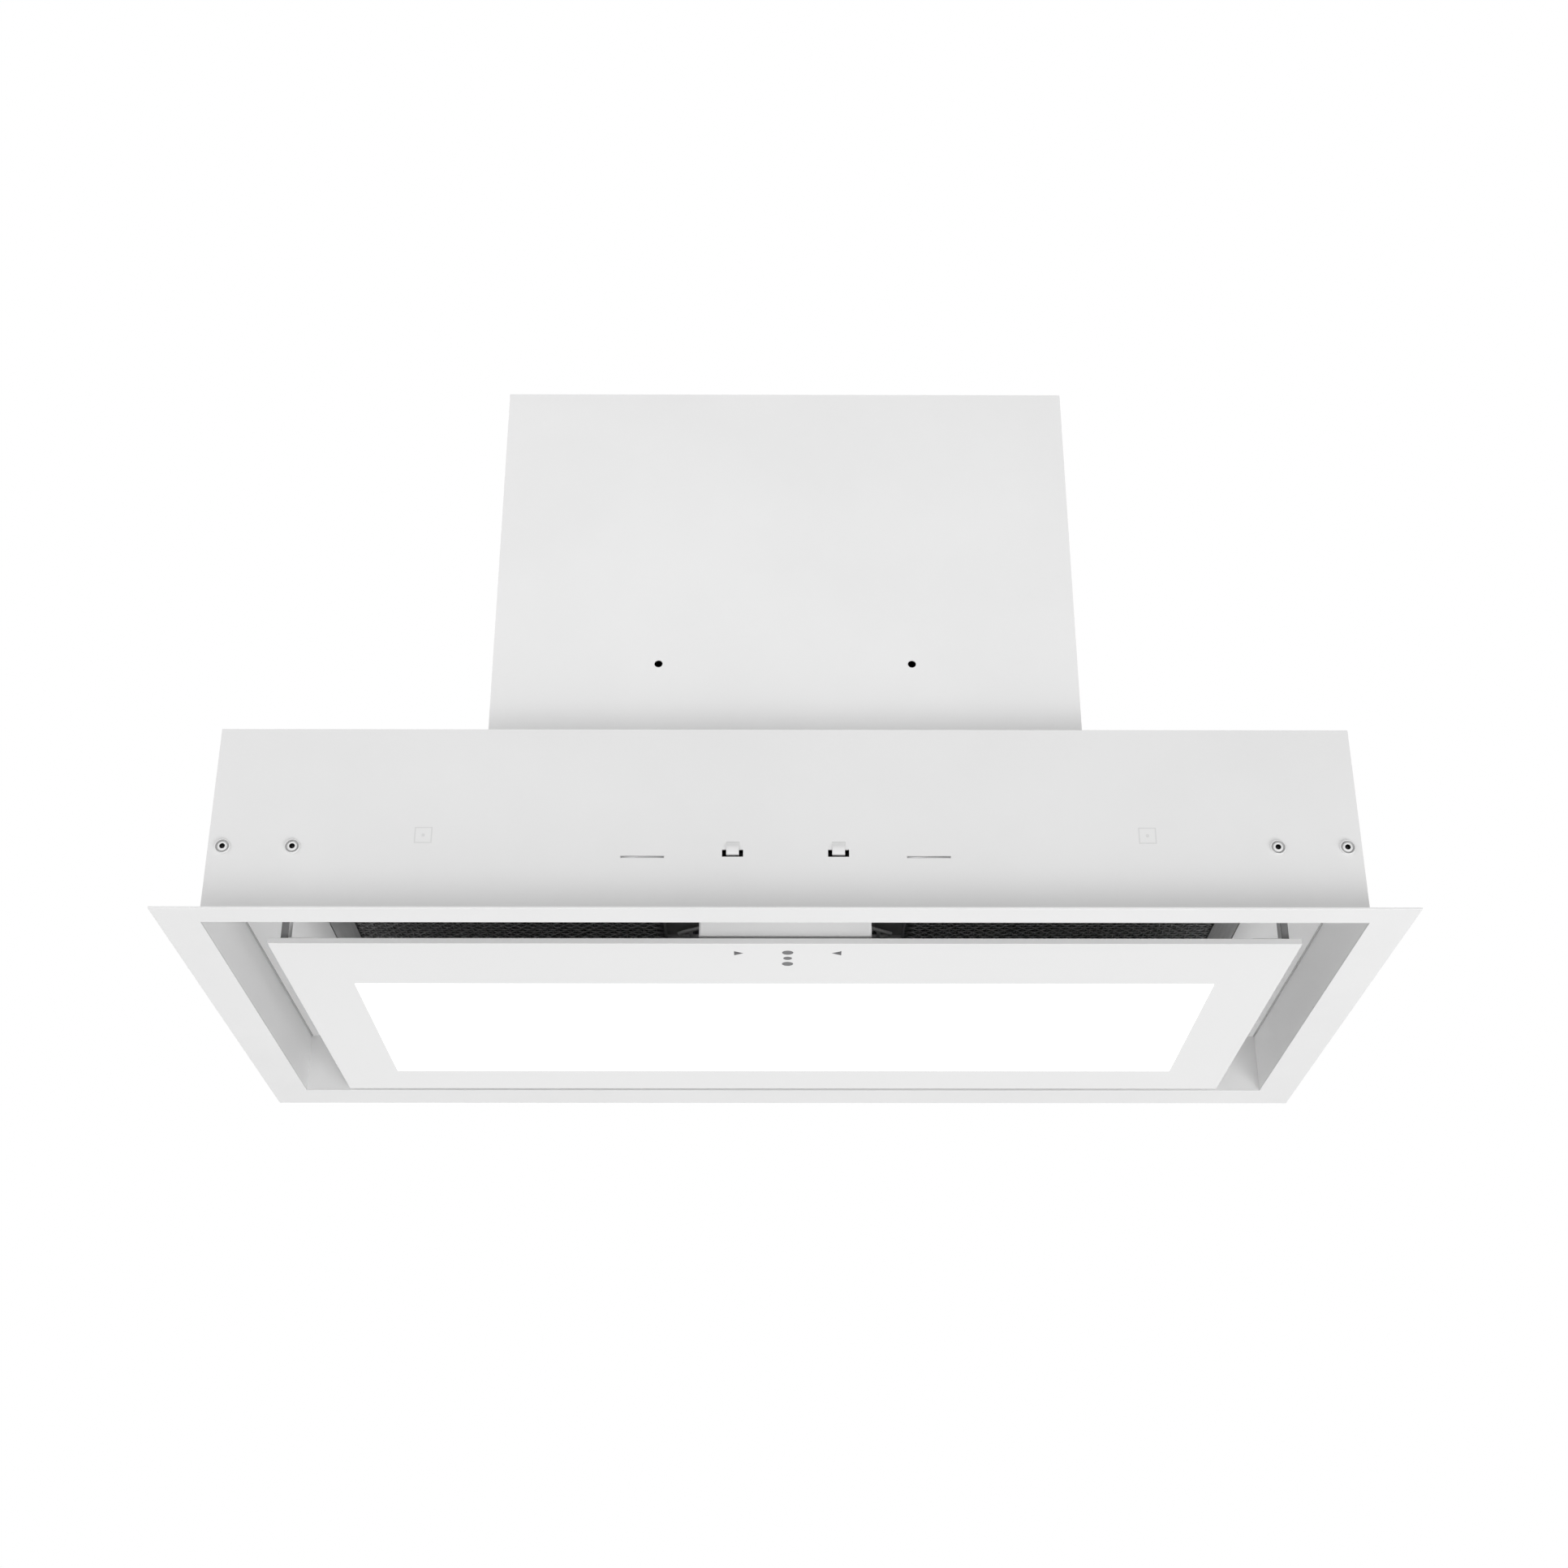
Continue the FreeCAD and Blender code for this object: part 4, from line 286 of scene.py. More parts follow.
def striped(name, light, dark, pitch, roughness):
    """Fine parallel lines: laminations, or the turns of a winding."""
    material, tree, shader = new_material(name)
    wave = add(tree, "ShaderNodeTexWave", wave_type="BANDS", bands_direction="X")
    wave.inputs["Scale"].default_value = 1 / pitch / BANDS_PER_UNIT
    wave.inputs["Distortion"].default_value = 0.6
    wave.inputs["Detail"].default_value = 1
    tree.links.new(object_space(tree), wave.inputs["Vector"])
    colours = ramp(tree, wave.outputs["Fac"], [(0.25, dark), (0.75, light)])
    tree.links.new(colours, shader.inputs["Base Color"])
    shader.inputs["Metallic"].default_value = 1.0
    shader.inputs["Roughness"].default_value = roughness
    bump(tree, shader, wave.outputs["Fac"], strength=0.4, distance=0.0003)
    return material


def printed_board(name):
    """Green solder mask over a faint grid of copper tracks."""
    material, tree, shader = new_material(name)
    tracks = add(tree, "ShaderNodeTexBrick")
    tracks.inputs["Color1"].default_value = (0.02, 0.13, 0.05, 1)
    tracks.inputs["Color2"].default_value = (0.03, 0.17, 0.07, 1)
    tracks.inputs["Mortar"].default_value = (0.06, 0.26, 0.11, 1)
    tracks.inputs["Scale"].default_value = 160
    tracks.inputs["Mortar Size"].default_value = 0.06
    tree.links.new(object_space(tree), tracks.inputs["Vector"])
    tree.links.new(tracks.outputs["Color"], shader.inputs["Base Color"])
    shader.inputs["Roughness"].default_value = 0.3
    bump(tree, shader, tracks.outputs["Fac"], strength=0.15, distance=0.0001)
    return material


WHITE = even(0.80)
# A paler copy of the one white paint: painted light, for the stronger light that falls on the motor box.
BOX_WHITE_PAINTED_LIGHT = even(0.865)
# A paler copy of the same white paint for the inner plate, the casing ends and the catch posts: painted
# light, to brighten them in the recess's shade.
INNER_WHITE_PAINTED_LIGHT = even(0.94)
DARK_PAD = (0.20, 0.20, 0.203)
LENS_GREY = (0.13, 0.13, 0.135)
COPPER_LIGHT = (0.85, 0.38, 0.17)
COPPER_DARK = (0.35, 0.12, 0.05)
STEEL_LIGHT = (0.35, 0.35, 0.36)
STEEL_DARK = (0.16, 0.16, 0.17)
WIRE_PITCH = 0.0007
SHEET_PITCH = 0.0008
# Each material's maker and its settings: first the record's slots, then the finishes of this scene, some of
# which are painted light or shade.
RECIPES = {
    "white_paint": (powder_coat, dict(colour=WHITE)),
    "aluminium_bare": (brushed, dict(colour=(0.36, 0.36, 0.362), roughness=0.38, stretch=(1, 0.05, 1))),
    "filter_mesh": (brushed, dict(colour=even(0.58), roughness=0.42, stretch=(1, 0.2, 1), strength=0.15)),
    "zinc_steel": (zinc, dict(colour=(0.62, 0.63, 0.64))),
    "spring_steel": (brushed, dict(colour=(0.36, 0.37, 0.38), roughness=0.28, stretch=(0.05, 1, 1))),
    "copper": (striped, dict(light=COPPER_LIGHT, dark=COPPER_DARK, pitch=WIRE_PITCH, roughness=0.3)),
    "laminated_steel": (striped, dict(light=STEEL_LIGHT, dark=STEEL_DARK, pitch=SHEET_PITCH, roughness=0.45)),
    "white_glass": (back_printed_glass, dict(colour=even(0.775))),
    "lit_window": (lit_opal, {}),
    "clear_acrylic": (clear_acrylic, {}),
    "white_plastic": (moulded, dict(colour=even(0.98), roughness=0.4)),
    "grey_plastic": (moulded, dict(colour=(0.30, 0.30, 0.305), roughness=0.42)),
    "black_plastic": (moulded, dict(colour=(0.022, 0.022, 0.024), roughness=0.4)),
    "grey_foam": (moulded, dict(colour=(0.16, 0.16, 0.165), roughness=0.9, grain_scale=900, strength=0.7)),
    "black_rubber": (moulded, dict(colour=even(0.02), roughness=0.7, grain_scale=700, strength=0.3)),
    "sensor_lens": (moulded, dict(colour=LENS_GREY, roughness=0.16, grain_scale=2000, strength=0.03)),
    "grey_print": (moulded, dict(colour=(0.12, 0.12, 0.125), roughness=0.5, grain_scale=1800, strength=0.05)),
    "circuit_board": (printed_board, {}),
    # Two paler copies of the white paint, both painted light: one for the stronger light on the box, one to
    # brighten the inner parts in the recess's shade.
    "box_paint": (powder_coat, dict(colour=BOX_WHITE_PAINTED_LIGHT)),
    "inner_paint": (powder_coat, dict(colour=INNER_WHITE_PAINTED_LIGHT)),
    "filter_pack": (brushed, dict(colour=even(0.42), roughness=0.5, stretch=(1, 0.2, 1), strength=0.4)),
    "handle_grey": (moulded, dict(colour=even(0.74), roughness=0.30)),
    "rivet_skin": (powder_coat, dict(colour=even(0.82), roughness=0.30)),
    # Painted shade: the grey floor of a rivet head's groove, under its rim.
    "rivet_groove": (powder_coat, dict(colour=even(0.50), roughness=0.5)),
    # Painted shade: a darker grey for the grooves of the knock-out marks.
    "sheared_paint": (powder_coat, dict(colour=even(0.70), roughness=0.5)),
    # Near-black: the rivet mandrel's dark steel, and painted shade deep in its bore.
    "rivet_bore": (zinc, dict(colour=(0.05, 0.05, 0.052), roughness=0.5)),
    # The grey of the bare sheared steel, made darker as painted shade in the tongues' slots.
    "cut_edge": (zinc, dict(colour=(0.42, 0.42, 0.425), roughness=0.5)),
    "seam_shade": (moulded, dict(colour=even(0.55), roughness=0.7)),
    "pale_foam": (moulded, dict(colour=even(0.42), roughness=0.9, grain_scale=900, strength=0.5)),
    "tray_grey": (moulded, dict(colour=even(0.50), roughness=0.45)),
    "post_pad": (moulded, dict(colour=DARK_PAD, roughness=0.6, grain_scale=900, strength=0.3)),
}
MATERIALS = {name: maker(name, **settings) for name, (maker, settings) in RECIPES.items()}

# Nodes whose finish is a little different from their record slot's. The paler whites of the box and of the
# inner parts are painted light: lighter copies of the one white paint.
NODE_LOOKS = {
    "inner_plate": "inner_paint",
    "casing_end_left": "inner_paint",
    "casing_end_right": "inner_paint",
    "catch_posts": "inner_paint",
    "motor_box_wrap": "box_paint",
    "latch_bezel": "tray_grey",
    "housing_gasket": "pale_foam",
}


def dress_cad_nodes():
    """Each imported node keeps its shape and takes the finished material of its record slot."""
    slot_of = {part["node"]: part["material_slot"] for part in frame["record"]["subparts"]}
    for name, node in NODES.items():
        material = MATERIALS[NODE_LOOKS.get(name, slot_of[name])]
        for slot in node.material_slots:
            slot.material = material
        if not node.material_slots:
            node.data.materials.append(material)


SOFT_EDGES = {
    "trim_flange": 0.00022, "casing_wrap": 0.00022, "casing_end_left": 0.00022, "casing_end_right": 0.00022,
    "inner_plate": 0.0002, "motor_box_wrap": 0.0002, "motor_box_rear_cover": 0.0002, "motor_box_top": 0.0002,
    "panel_glass": 0.0005, "control_housing": 0.0005, "panel_tray": 0.0002, "catch_posts": 0.0003,
    "filter_frame": 0.00015, "hinge_arms": 0.0003, "hinge_brackets": 0.0002, "outlet_collar": 0.0002,
    "cable_gland": 0.0004, "latch_bezel": 0.00015,
}
WELD_DISTANCE = 0.00001
FLAT_ANGLE = 0.5                # degrees
BEVEL_ANGLE = 40                # degrees
BEVEL_SEGMENTS = 2


def soften_edges():
    """Round the sharp edges a little, so that they catch the light."""
    for name, width in SOFT_EDGES.items():
        weld = NODES[name].modifiers.new("weld", "WELD")
        weld.merge_threshold = WELD_DISTANCE
        flats = NODES[name].modifiers.new("flats", "DECIMATE")
        flats.decimate_type = "DISSOLVE"
        flats.angle_limit = math.radians(FLAT_ANGLE)
        bevel = NODES[name].modifiers.new("bevel", "BEVEL")
        bevel.width = width
        bevel.segments = BEVEL_SEGMENTS
        bevel.limit_method = "ANGLE"
        bevel.angle_limit = math.radians(BEVEL_ANGLE)
        bevel.use_clamp_overlap = True


# ---------------------------------------------------------------- pieces built here

def link(form, name, slot, materials=None, smooth=True):
    """Turn a bmesh into a linked object that takes its finish from a record slot."""
    bmesh.ops.recalc_face_normals(form, faces=form.faces)
    mesh = bpy.data.meshes.new(name)
    form.to_mesh(mesh)
    form.free()
    for polygon in mesh.polygons:
        polygon.use_smooth = smooth
    for material in materials or [slot]:
        mesh.materials.append(MATERIALS[material])
    piece = bpy.data.objects.new(name, mesh)
    bpy.context.scene.collection.objects.link(piece)
    return piece


def sweep(form, rings, closed=False):
    """Join rings of points into a tube, closed on itself or capped at both ends."""
    rows = [[form.verts.new(point) for point in ring] for ring in rings]
    count = len(rows[0])
    pairs = list(zip(rows, rows[1:]))
    if closed:
        pairs.append((rows[-1], rows[0]))
    for first, second in pairs:
        for i in range(count):
            j = (i + 1) % count
            form.faces.new((first[i], first[j], second[j], second[i]))
    if not closed:
        form.faces.new(rows[0][::-1])
        form.faces.new(rows[-1])


MESH_PITCH = 0.0032
MESH_WIRE = 0.0009
CRIMP = 0.94                    # how far a wire dips, as a share of its radius
TRAY_GAP = 0.0002               # between the cut wires and the latch's tray


def steps(low, high):
    """The wire places at one pitch from the middle, between low and high."""
    first = math.ceil((low + MESH_WIRE) / MESH_PITCH)
    last = math.floor((high - MESH_WIRE) / MESH_PITCH)
    return range(first, last + 1)


def woven_wire(form, fixed, span, middle, along_x):
    """One crimped wire: it dips below and above the wires that it crosses in turn."""
    radius = MESH_WIRE / 2
    rings = []
    crossings = [k * MESH_PITCH for k in steps(*span)]
    places = [span[0]] + crossings + [span[1]]
    line = fixed * MESH_PITCH
    for place in places:
        k = round(place / MESH_PITCH)
        way = 1 if (k + fixed) % 2 else -1
        if place not in crossings:
            way = 0
        z = middle + (way if along_x else -way) * radius * CRIMP
        section = ((line - radius, z), (line, z - radius), (line + radius, z), (line, z + radius))
        if along_x:
            rings.append([(place, across, up) for across, up in section])
        else:
            rings.append([(across, place, up) for across, up in section])
    sweep(form, rings)


def make_filter_face():
    """The lower face of the grease filter: woven aluminium mesh, left open round the latch's tray."""
    low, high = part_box("filter_lower_screen")
    tray_low, tray_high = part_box("latch_bezel")
    room = TRAY_GAP + MESH_WIRE
    middle = low.z + MESH_WIRE
    form = bmesh.new()
    for k in steps(low.x, high.x):
        x = k * MESH_PITCH
        over_tray = tray_low.x - room < x < tray_high.x + room
        start = tray_high.y + TRAY_GAP if over_tray else low.y
        woven_wire(form, k, (start, high.y), middle, False)
    for k in steps(low.y, high.y):
        y = k * MESH_PITCH
        if y < tray_high.y + room:
            woven_wire(form, k, (low.x, tray_low.x - TRAY_GAP), middle, True)
            woven_wire(form, k, (tray_high.x + TRAY_GAP, high.x), middle, True)
        else:
            woven_wire(form, k, (low.x, high.x), middle, True)
    piece = link(form, "filter_mesh_face", "filter_mesh")
    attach(piece, "hood")
    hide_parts("filter_lower_screen")


FOLD_PITCH = 0.0036
FOLD_DEPTH = 0.0011
PACK_GAP = 0.0003               # between the mesh and the pack above it


def crimped_sheet(form, x_span, y_span, z_span, tray):
    """A closed, wavy slab with a notch for the latch's tray."""

    def slab(x_low, x_high, y_low, y_high):
        count = max(2, round((x_high - x_low) / FOLD_PITCH * 2))
        rings = []
        for i in range(count + 1):
            x = x_low + (x_high - x_low) * i / count
            lift = FOLD_DEPTH if i % 2 else 0
            low, high = z_span[0] + lift, z_span[1] - FOLD_DEPTH + lift
            rings.append([(x, y_low, low), (x, y_high, low), (x, y_high, high), (x, y_low, high)])
        sweep(form, rings)

    slab(x_span[0], tray[0].x, y_span[0], tray[1].y)
    slab(tray[1].x, x_span[1], y_span[0], tray[1].y)
    slab(x_span[0], x_span[1], tray[1].y, y_span[1])


def make_filter_core():
    """The crimped pack above the mesh, dark and deep between its folds."""
    low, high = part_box("filter_core")
    mesh_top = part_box("filter_lower_screen")[0].z + 2 * MESH_WIRE
    form = bmesh.new()
    z_span = (mesh_top + PACK_GAP, high.z)
    crimped_sheet(form, (low.x, high.x), (low.y, high.y), z_span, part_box("latch_bezel"))
    piece = link(form, "filter_crimped_pack", "filter_mesh", ["filter_pack"], smooth=False)
    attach(piece, "hood")
    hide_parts("filter_core")


def rounded_section(half_width, half_height, corner, steps_per_corner=3):
    """A rounded rectangle about the origin, as (across, up) pairs."""
    points = []
    for turn in range(4):
        angle = math.pi / 2 * turn
        sign_x = 1 if turn in (0, 3) else -1
        sign_z = 1 if turn in (0, 1) else -1
        for i in range(steps_per_corner + 1):
            a = angle + math.pi / 2 * i / steps_per_corner
            across = sign_x * (half_width - corner) + corner * math.cos(a)
            up = sign_z * (half_height - corner) + corner * math.sin(a)
            points.append((across, up))
    return points


CORNER_STEPS = 6
ARC_STEPS = 28


def bow_path(half, rear, side, apex, corner):
    """The middle line of the D-shaped bow: a straight rear with round corners, and an arc in front."""
    points = []
    for turn in range(CORNER_STEPS + 1):
        a = math.pi / 2 * turn / CORNER_STEPS
        points.append((half - corner + corner * math.cos(a), rear - corner + corner * math.sin(a)))
    points += [(x, rear) for x in (0.5 * half, 0, -0.5 * half)]
    points += [(-x, y) for x, y in points[CORNER_STEPS::-1]]
    sag = side - apex
    radius = (half * half + sag * sag) / (2 * sag)
    centre = apex + radius
    swing = math.asin(half / radius)
    for i in range(1, ARC_STEPS):
        a = -swing + 2 * swing * i / ARC_STEPS
        points.append((radius * math.sin(a), centre - radius * math.cos(a)))
    return points


MITRE_LIMIT = 0.5


def flat_sweep(form, path, section, z, closed):
    """Sweep a section along a flat path, with mitred corners."""
    rings = []
    count = len(path)
    for i, point in enumerate(path):
        here = Vector(point)
        before = Vector(path[i - 1]) if closed or i else here
        after = Vector(path[(i + 1) % count]) if closed or i < count - 1 else here
        inward = (here - before).normalized() if before != here else (after - here).normalized()
        outward = (after - here).normalized() if after != here else inward
        along = (inward + outward).normalized()
        side = Vector((along.y, -along.x))
        stretch = 1 / max(MITRE_LIMIT, along.dot(inward))
        rings.append([(*(here + side * across * stretch), z + up) for across, up in section])
    sweep(form, rings, closed)


BOW_BAR = 0.0023
BOW_HEIGHT = 0.0017
BOW_ROUND = 0.0008
BOW_CORNER = 0.0042
BOW_SAG = 0.021
BOW_REACH = 0.026
RIB_X = 0.049
RIB_SECTION = (0.0010, 0.0008, 0.0004)
RIB_STATIONS = (0.0090, 0.0055, 0.0020)
TONGUE_HALF = 0.020
TONGUE_SHEET = 0.002
TONGUE_ROUND = 0.0012
STEM_FOOT_GAP = 0.0002


def stem_profile(low, high, apex):
    """The side view of the tongue and its turned-down stem, as (y, z) from the nose over the top."""
    back = apex + BOW_BAR
    foot = low.z + STEM_FOOT_GAP
    under = high.z - TONGUE_SHEET
    return [
        (low.y, high.z - TONGUE_SHEET * 0.45),
        (low.y + TONGUE_ROUND, high.z),
        (back - 0.0025, high.z),
        (back - 0.0008, high.z - 0.0007),
        (back, high.z - 0.0024),
        (back, foot),
        (apex, foot),
        (apex, under - TONGUE_ROUND),
        (apex - TONGUE_ROUND, under),
        (low.y + 0.0008, under),
        (low.y, under + 0.0004),
    ]


def make_latch_handle():
    """The sliding latch: a flat tongue, its turned-down stem, and a rounded finger bow."""
    low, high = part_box("filter_latch")
    rear = high.y
    apex = rear - BOW_REACH
    middle = low.z + BOW_HEIGHT / 2
    half_bar = BOW_BAR / 2
    form = bmesh.new()
    section = rounded_section(half_bar, BOW_HEIGHT / 2, BOW_ROUND)
    path = bow_path(high.x - half_bar, rear - half_bar, apex + BOW_SAG, apex + half_bar, BOW_CORNER)
    flat_sweep(form, path, section, middle, True)
    rib = rounded_section(*RIB_SECTION)
    for side in (-1, 1):
        flat_sweep(form, [(side * RIB_X, rear - step) for step in RIB_STATIONS], rib, middle, False)
    profile = stem_profile(low, high, apex)
    inner = TONGUE_HALF - TONGUE_ROUND
    rings = [[(x, y, z) for y, z in profile] for x in (-TONGUE_HALF, -inner, inner, TONGUE_HALF)]
    sweep(form, rings)
    piece = link(form, "latch_handle", "grey_plastic", ["handle_grey"])
    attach(piece, "latch")
    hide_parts("filter_latch")


LEAF = 0.0005
LEAF_STEPS = 40


def make_latch_spring():
    """The bowed leaf behind the stem, in its rest shape; the real leaf flattens against its rear end as the
    latch slides back, but this piece stays bowed.
    """
    low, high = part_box("latch_spring")
    span = high.y - low.y
    sag = span - LEAF
    radius = (high.x * high.x + sag * sag) / (2 * sag)
    swing = math.asin(high.x / radius)
    form = bmesh.new()
    rings = []
    for i in range(LEAF_STEPS + 1):
        a = -swing + 2 * swing * i / LEAF_STEPS
        x = radius * math.sin(a)
        y = low.y + radius - radius * math.cos(a)
        rings.append([(x, y, low.z), (x, y, high.z), (x, y + LEAF, high.z), (x, y + LEAF, low.z)])
    sweep(form, rings)
    piece = link(form, "latch_spring_leaf", "spring_steel", smooth=False)
    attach(piece, "hood")
    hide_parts("latch_spring")
    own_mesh(piece)


def lathe(form, profile, centre, facing, count=32):
    """Turn (radius, height, material index) rows about an axis; a row's index is for the band after it."""
    axis = Vector(facing)
    across = axis.orthogonal().normalized()
    other = axis.cross(across)
    rings = []
    for radius, height, _ in profile:
        ring = []
        for i in range(count):
            a = 2 * math.pi * i / count
            spoke = across * math.cos(a) + other * math.sin(a)
            ring.append(form.verts.new(Vector(centre) + axis * height + spoke * radius))
        rings.append(ring)
    for k, (first, second) in enumerate(zip(rings, rings[1:])):
        for i in range(count):
            j = (i + 1) % count
            face = form.faces.new((first[i], first[j], second[j], second[i]))
            face.material_index = profile[k][2]
    bottom = form.faces.new(rings[0])
    bottom.material_index = profile[0][2]


RIVET_X = (0.2390, 0.2728)
RIVET_Z = 0.0391
RIVET_HEAD = 0.0012
# Rows of (radius, height, material): 0 the painted skin; 1 the near-black bore, the mandrel's steel and
# painted shade; 2 the grey groove floor, painted shade under the rim.
RIVET_PROFILE = [
    (0.00125, -0.0014, 1), (0.00130, 0.0002, 1), (0.00132, 0.0007, 1), (0.00136, 0.00095, 0),
    (0.00160, 0.00115, 0), (0.00190, 0.00118, 0), (0.00220, 0.00105, 0), (0.00245, 0.00070, 2),
    (0.00258, 0.00025, 2), (0.00275, 0.00008, 2), (0.00310, 0.00008, 2), (0.00326, 0.00020, 2),
    (0.00334, 0.00095, 0), (0.00346, 0.00112, 0), (0.00366, 0.00108, 0), (0.00382, 0.00080, 0),
    (0.00384, 0.0, 0),
]


def make_rivet_heads():
    """Blind rivets with a pulled-through bore, a crowned middle and a raised rim."""
    low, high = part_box("casing_rivets")
    form = bmesh.new()
    for side in (-1, 1):
        for x in RIVET_X:
            lathe(form, RIVET_PROFILE, (side * x, low.y + RIVET_HEAD, RIVET_Z), (0, -1, 0))
            lathe(form, RIVET_PROFILE, (side * x, high.y - RIVET_HEAD, RIVET_Z), (0, 1, 0))
    piece = link(form, "casing_rivet_heads", "white_paint", ["rivet_skin", "rivet_bore", "rivet_groove"])
    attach(piece, "hood")
    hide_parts("casing_rivets")


PAD_WIDTH = 0.0037
PAD_THICK = 0.0008
PAD_ROUND = 0.00038
PAD_END = 0.8                   # the share of its section that a pad keeps at its two ends


def make_post_pads():
    """A soft grey pad down the front edge of each catch post."""
    low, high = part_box("catch_posts")
    section = rounded_section(PAD_WIDTH / 2, PAD_THICK / 2, PAD_ROUND)
    levels = (
        (low.z + 0.0003, PAD_END), (low.z + 0.0007, 1),
        (high.z - 0.0010, 1), (high.z - 0.0006, PAD_END),
    )
    for side, name in ((-1, "post_pad_left"), (1, "post_pad_right")):
        form = bmesh.new()
        x = side * (high.x - PAD_WIDTH / 2)
        y = low.y - PAD_THICK / 2
        rings = []
        for z, shrink in levels:
            rings.append([(x + across * shrink, y + up * shrink, z) for across, up in section])
        sweep(form, rings)
        piece = link(form, name, "grey_plastic", ["post_pad"])
        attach(piece, "light_panel")


TIP_X = 0.0694
TIP_Z = 0.0339
TIP_HALF = 0.0104
TIP_SKIN = 0.00008
TIP_HALF_SHEET = 0.00038
TIP_ROUND = 0.00006


def make_tongue_tips():
    """The sheared ends of the plate's two tongues, seen in their slots. Their grey is the bare cut steel,
    made darker still as painted shade in the slots.
    """
    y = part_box("inner_plate")[0].y - TIP_SKIN
    section = rounded_section(TIP_SKIN, TIP_HALF_SHEET, TIP_ROUND, 2)
    for side, name in ((-1, "tongue_tip_left"), (1, "tongue_tip_right")):
        form = bmesh.new()
        rings = []
        for x in (side * TIP_X - TIP_HALF, side * TIP_X + TIP_HALF):
            rings.append([(x, y + across, TIP_Z + up) for across, up in section])
        sweep(form, rings)
        piece = link(form, name, "zinc_steel", ["cut_edge"])
        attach(piece, "hood")


SEAM_RADIUS = 0.0005
SEAM_SIDES = 8
SEAM_TUCK = 0.8                 # in radii, inside the plate's edge
SEAM_DROP = 0.1                 # in radii, below the plate
SEAM_STATIONS = (0.001, 0.02)   # from each end of the plate


def make_plate_seams():
    """A thin grey bead along the corner between the recess's ceiling and its side walls: painted shade in
    that corner.
    """
    low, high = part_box("inner_plate")
    z = low.z - SEAM_RADIUS * SEAM_DROP
    stations = [low.y + step for step in SEAM_STATIONS] + [high.y - step for step in SEAM_STATIONS[::-1]]
    for side, name in ((-1, "plate_seam_left"), (1, "plate_seam_right")):
        form = bmesh.new()
        x = side * (high.x - SEAM_RADIUS * SEAM_TUCK)
        rings = []
        for y in stations:
            ring = []
            for i in range(SEAM_SIDES):
                a = 2 * math.pi * i / SEAM_SIDES
                ring.append((x + SEAM_RADIUS * math.cos(a), y, z + SEAM_RADIUS * math.sin(a)))
            rings.append(ring)
        sweep(form, rings)
        piece = link(form, name, "black_rubber", ["seam_shade"])
        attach(piece, "hood")


WELD_LIP = 0.003                # the wrap's foot stands this far before its front wall


def front_wall():
    """Where the outer face of the casing's front wall is."""
    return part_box("casing_wrap")[0].y + WELD_LIP


KNOCKOUT_X = 0.1761
KNOCKOUT_Z = 0.0453
KNOCKOUT_HALF = 0.0040
KNOCKOUT_LINE = 0.0006
DIMPLE_HALF = 0.0005
MARK_PROUD = 0.00006


def make_knockout_marks():
    """The half-sheared outline and middle dimple of the two square knock-outs, in a darker grey: painted
    shade in their grooves.
    """
    wall = front_wall()
    outlines = ((KNOCKOUT_LINE, KNOCKOUT_HALF), (DIMPLE_HALF, DIMPLE_HALF))
    for side, name in ((-1, "knockout_mark_left"), (1, "knockout_mark_right")):
        form = bmesh.new()
        centre = side * KNOCKOUT_X
        for thick, corners in outlines:
            rings = []
            for sx, sz in ((-1, -1), (1, -1), (1, 1), (-1, 1)):
                outer, inner = corners + thick, corners - thick
                ring = [
                    (centre + sx * outer, wall + MARK_PROUD, KNOCKOUT_Z + sz * outer),
                    (centre + sx * corners, wall - MARK_PROUD, KNOCKOUT_Z + sz * corners),
                    (centre + sx * inner, wall + MARK_PROUD, KNOCKOUT_Z + sz * inner),
                ]
                rings.append(ring)
            sweep(form, rings, True)
        piece = link(form, name, "white_paint", ["sheared_paint"], smooth=False)
        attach(piece, "hood")


LANCE_X = 0.0257
LANCE_TAB_HALF = 0.0031
LANCE_LANES = (-1, -0.92, -0.6, -0.2, 0.2, 0.6, 0.92, 1)
# Each row's Z, and how far it stands before the wall.
LANCE_ROWS = (
    (0.0350, 0.00060), (0.0351, 0.00080), (0.0362, 0.00100), (0.0374, 0.00115), (0.0384, 0.00118),
    (0.0391, 0.00104), (0.0398, 0.00074), (0.0405, 0.00040), (0.0412, 0.00012), (0.0420, -0.00002),
)
LANCE_SPREAD = 0.12             # how much wider the drawn slope is at its top
LANCE_SPREAD_FROM = 0.0374
LANCE_SPREAD_RUN = 0.0046
LANCE_FADE_Z = 0.0391           # above it, the slope's two edges lie in the wall
LANCE_EDGE = 0.75               # how far the edges stand, as a share of the middle
LANCE_BACK = 0.0002             # the tab's rear face, behind the wall's face


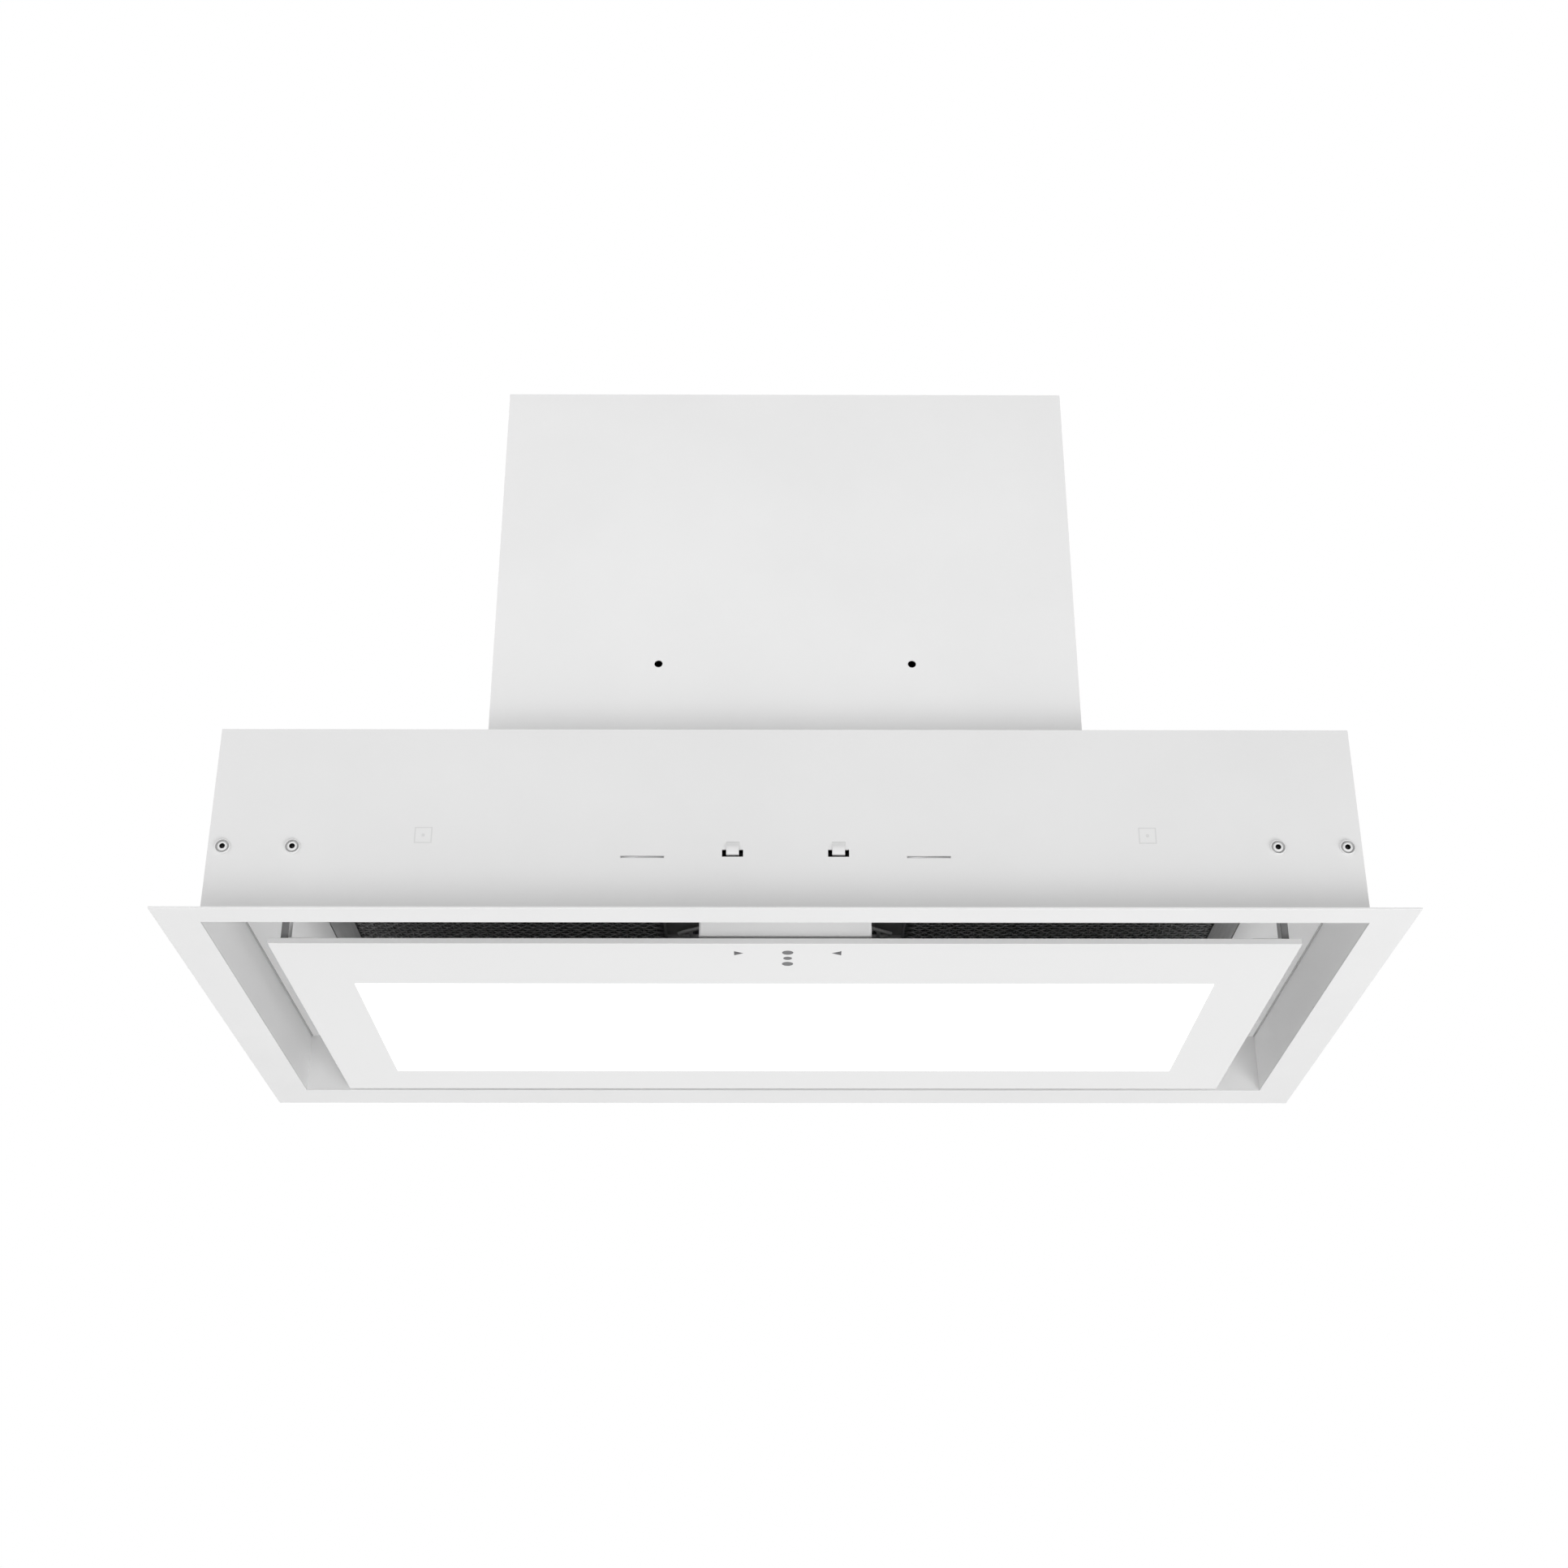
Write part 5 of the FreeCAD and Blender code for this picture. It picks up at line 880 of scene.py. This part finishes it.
def make_lance_tabs():
    """The two pressed tabs: their tips stand a little proud, on a drawn slope above."""
    wall = front_wall()
    last = len(LANCE_LANES) - 1
    for side, name in ((-1, "lance_tab_left"), (1, "lance_tab_right")):
        form = bmesh.new()
        rows = []
        for z, proud in LANCE_ROWS:
            spread = 1 + LANCE_SPREAD * max(0.0, (z - LANCE_SPREAD_FROM) / LANCE_SPREAD_RUN)
            row = []
            for lane in LANCE_LANES:
                share = 1
                if abs(lane) == 1:
                    share = 0 if z > LANCE_FADE_Z else LANCE_EDGE
                x = side * LANCE_X + lane * LANCE_TAB_HALF * spread
                row.append(form.verts.new((x, wall - proud * share, z)))
            rows.append(row)
        backs = [[form.verts.new((v.co.x, wall + LANCE_BACK, v.co.z)) for v in row] for row in rows]
        for first, second in zip(rows, rows[1:]):
            for i in range(last):
                form.faces.new((first[i], first[i + 1], second[i + 1], second[i]))
        for grid in (0, -1):
            for i in range(last):
                form.faces.new((rows[grid][i], rows[grid][i + 1], backs[grid][i + 1], backs[grid][i]))
        for lane in (0, last):
            for k in range(len(rows) - 1):
                form.faces.new((rows[k][lane], rows[k + 1][lane], backs[k + 1][lane], backs[k][lane]))
        for first, second in zip(backs, backs[1:]):
            for i in range(last):
                form.faces.new((first[i], first[i + 1], second[i + 1], second[i]))
        piece = link(form, name, "white_paint")
        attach(piece, "hood")


# ---------------------------------------------------------------- light and surroundings

WORLD_LIGHT = 0.44
WORLD_SHOWN = 1.0
HOOD_MIDDLE = (0, 0, 0.05)


def flat_backdrop():
    """White to the camera and to reflections, and an even soft light on the object."""
    world = bpy.data.worlds.new("world")
    bpy.context.scene.world = world
    world.use_nodes = True
    tree = world.node_tree
    tree.nodes.clear()
    out = add(tree, "ShaderNodeOutputWorld")
    path = add(tree, "ShaderNodeLightPath")
    seen = add(tree, "ShaderNodeMath", operation="MAXIMUM")
    seen_any = add(tree, "ShaderNodeMath", operation="MAXIMUM")
    tree.links.new(path.outputs["Is Camera Ray"], seen.inputs[0])
    tree.links.new(path.outputs["Is Glossy Ray"], seen.inputs[1])
    tree.links.new(seen.outputs[0], seen_any.inputs[0])
    tree.links.new(path.outputs["Is Transmission Ray"], seen_any.inputs[1])
    light = add(tree, "ShaderNodeBackground")
    light.inputs["Color"].default_value = (1, 1, 1, 1)
    light.inputs["Strength"].default_value = WORLD_LIGHT
    shown = add(tree, "ShaderNodeBackground")
    shown.inputs["Color"].default_value = (1, 1, 1, 1)
    shown.inputs["Strength"].default_value = WORLD_SHOWN
    mix = add(tree, "ShaderNodeMixShader")
    tree.links.new(seen_any.outputs[0], mix.inputs["Fac"])
    tree.links.new(light.outputs[0], mix.inputs[1])
    tree.links.new(shown.outputs[0], mix.inputs[2])
    tree.links.new(mix.outputs[0], out.inputs["Surface"])


def softbox(name, place, side, watts):
    """A square lamp with sides in metres, aimed at the hood."""
    data = bpy.data.lights.new(name, "AREA")
    data.shape = "RECTANGLE"
    data.size = side
    data.size_y = side
    data.energy = watts
    lamp = bpy.data.objects.new(name, data)
    lamp.location = place
    lamp.rotation_mode = "QUATERNION"
    lamp.rotation_quaternion = (Vector(HOOD_MIDDLE) - Vector(place)).to_track_quat("-Z", "Y")
    lamp.visible_camera = False
    bpy.context.scene.collection.objects.link(lamp)


# Each lamp's name, place, side in metres and power in watts.
LAMPS = (
    ("high_left", (-2.35, -2.35, 0.76), 1.8, 26),
    ("front", (0, -3.2, -1.12), 1.8, 9),
    ("front_low", (0, -2.53, -2.22), 1.8, 15),
    ("key", (1.79, -1.79, -2.22), 1.8, 46),
    ("low_left", (-1.54, -0.41, -2.95), 1.8, 22),
    ("low_right", (1.54, -0.41, -2.95), 1.8, 6),
    ("rear_top", (-2.0, 2.2, 2.7), 2.0, 60),
)
FLOOR_Z = -3.6
FLOOR_HALF = 9
FLOOR_DARK = even(0.82)
FLOOR_LIGHT = even(0.84)


def make_floor():
    """A plain pale floor well below the hood."""
    mesh = bpy.data.meshes.new("floor")
    form = bmesh.new()
    bmesh.ops.create_grid(form, x_segments=2, y_segments=2, size=FLOOR_HALF)
    form.to_mesh(mesh)
    form.free()
    floor = bpy.data.objects.new("floor", mesh)
    floor.location = (0, 0, FLOOR_Z)
    material, tree, shader = new_material("floor_paint")
    grain = noise(tree, object_space(tree), scale=3, detail=3)
    colours = ramp(tree, grain, [(0.3, FLOOR_DARK), (0.7, FLOOR_LIGHT)])
    tree.links.new(colours, shader.inputs["Base Color"])
    shader.inputs["Roughness"].default_value = 0.8
    mesh.materials.append(material)
    bpy.context.scene.collection.objects.link(floor)


# ---------------------------------------------------------------- build

bpy.context.scene.view_settings.view_transform = "Standard"
make_camera()
dress_cad_nodes()
soften_edges()
make_filter_face()
make_filter_core()
make_latch_handle()
make_latch_spring()
make_rivet_heads()
make_post_pads()
make_lance_tabs()
make_tongue_tips()
make_plate_seams()
make_knockout_marks()
flat_backdrop()
make_floor()
for lamp in LAMPS:
    softbox(*lamp)
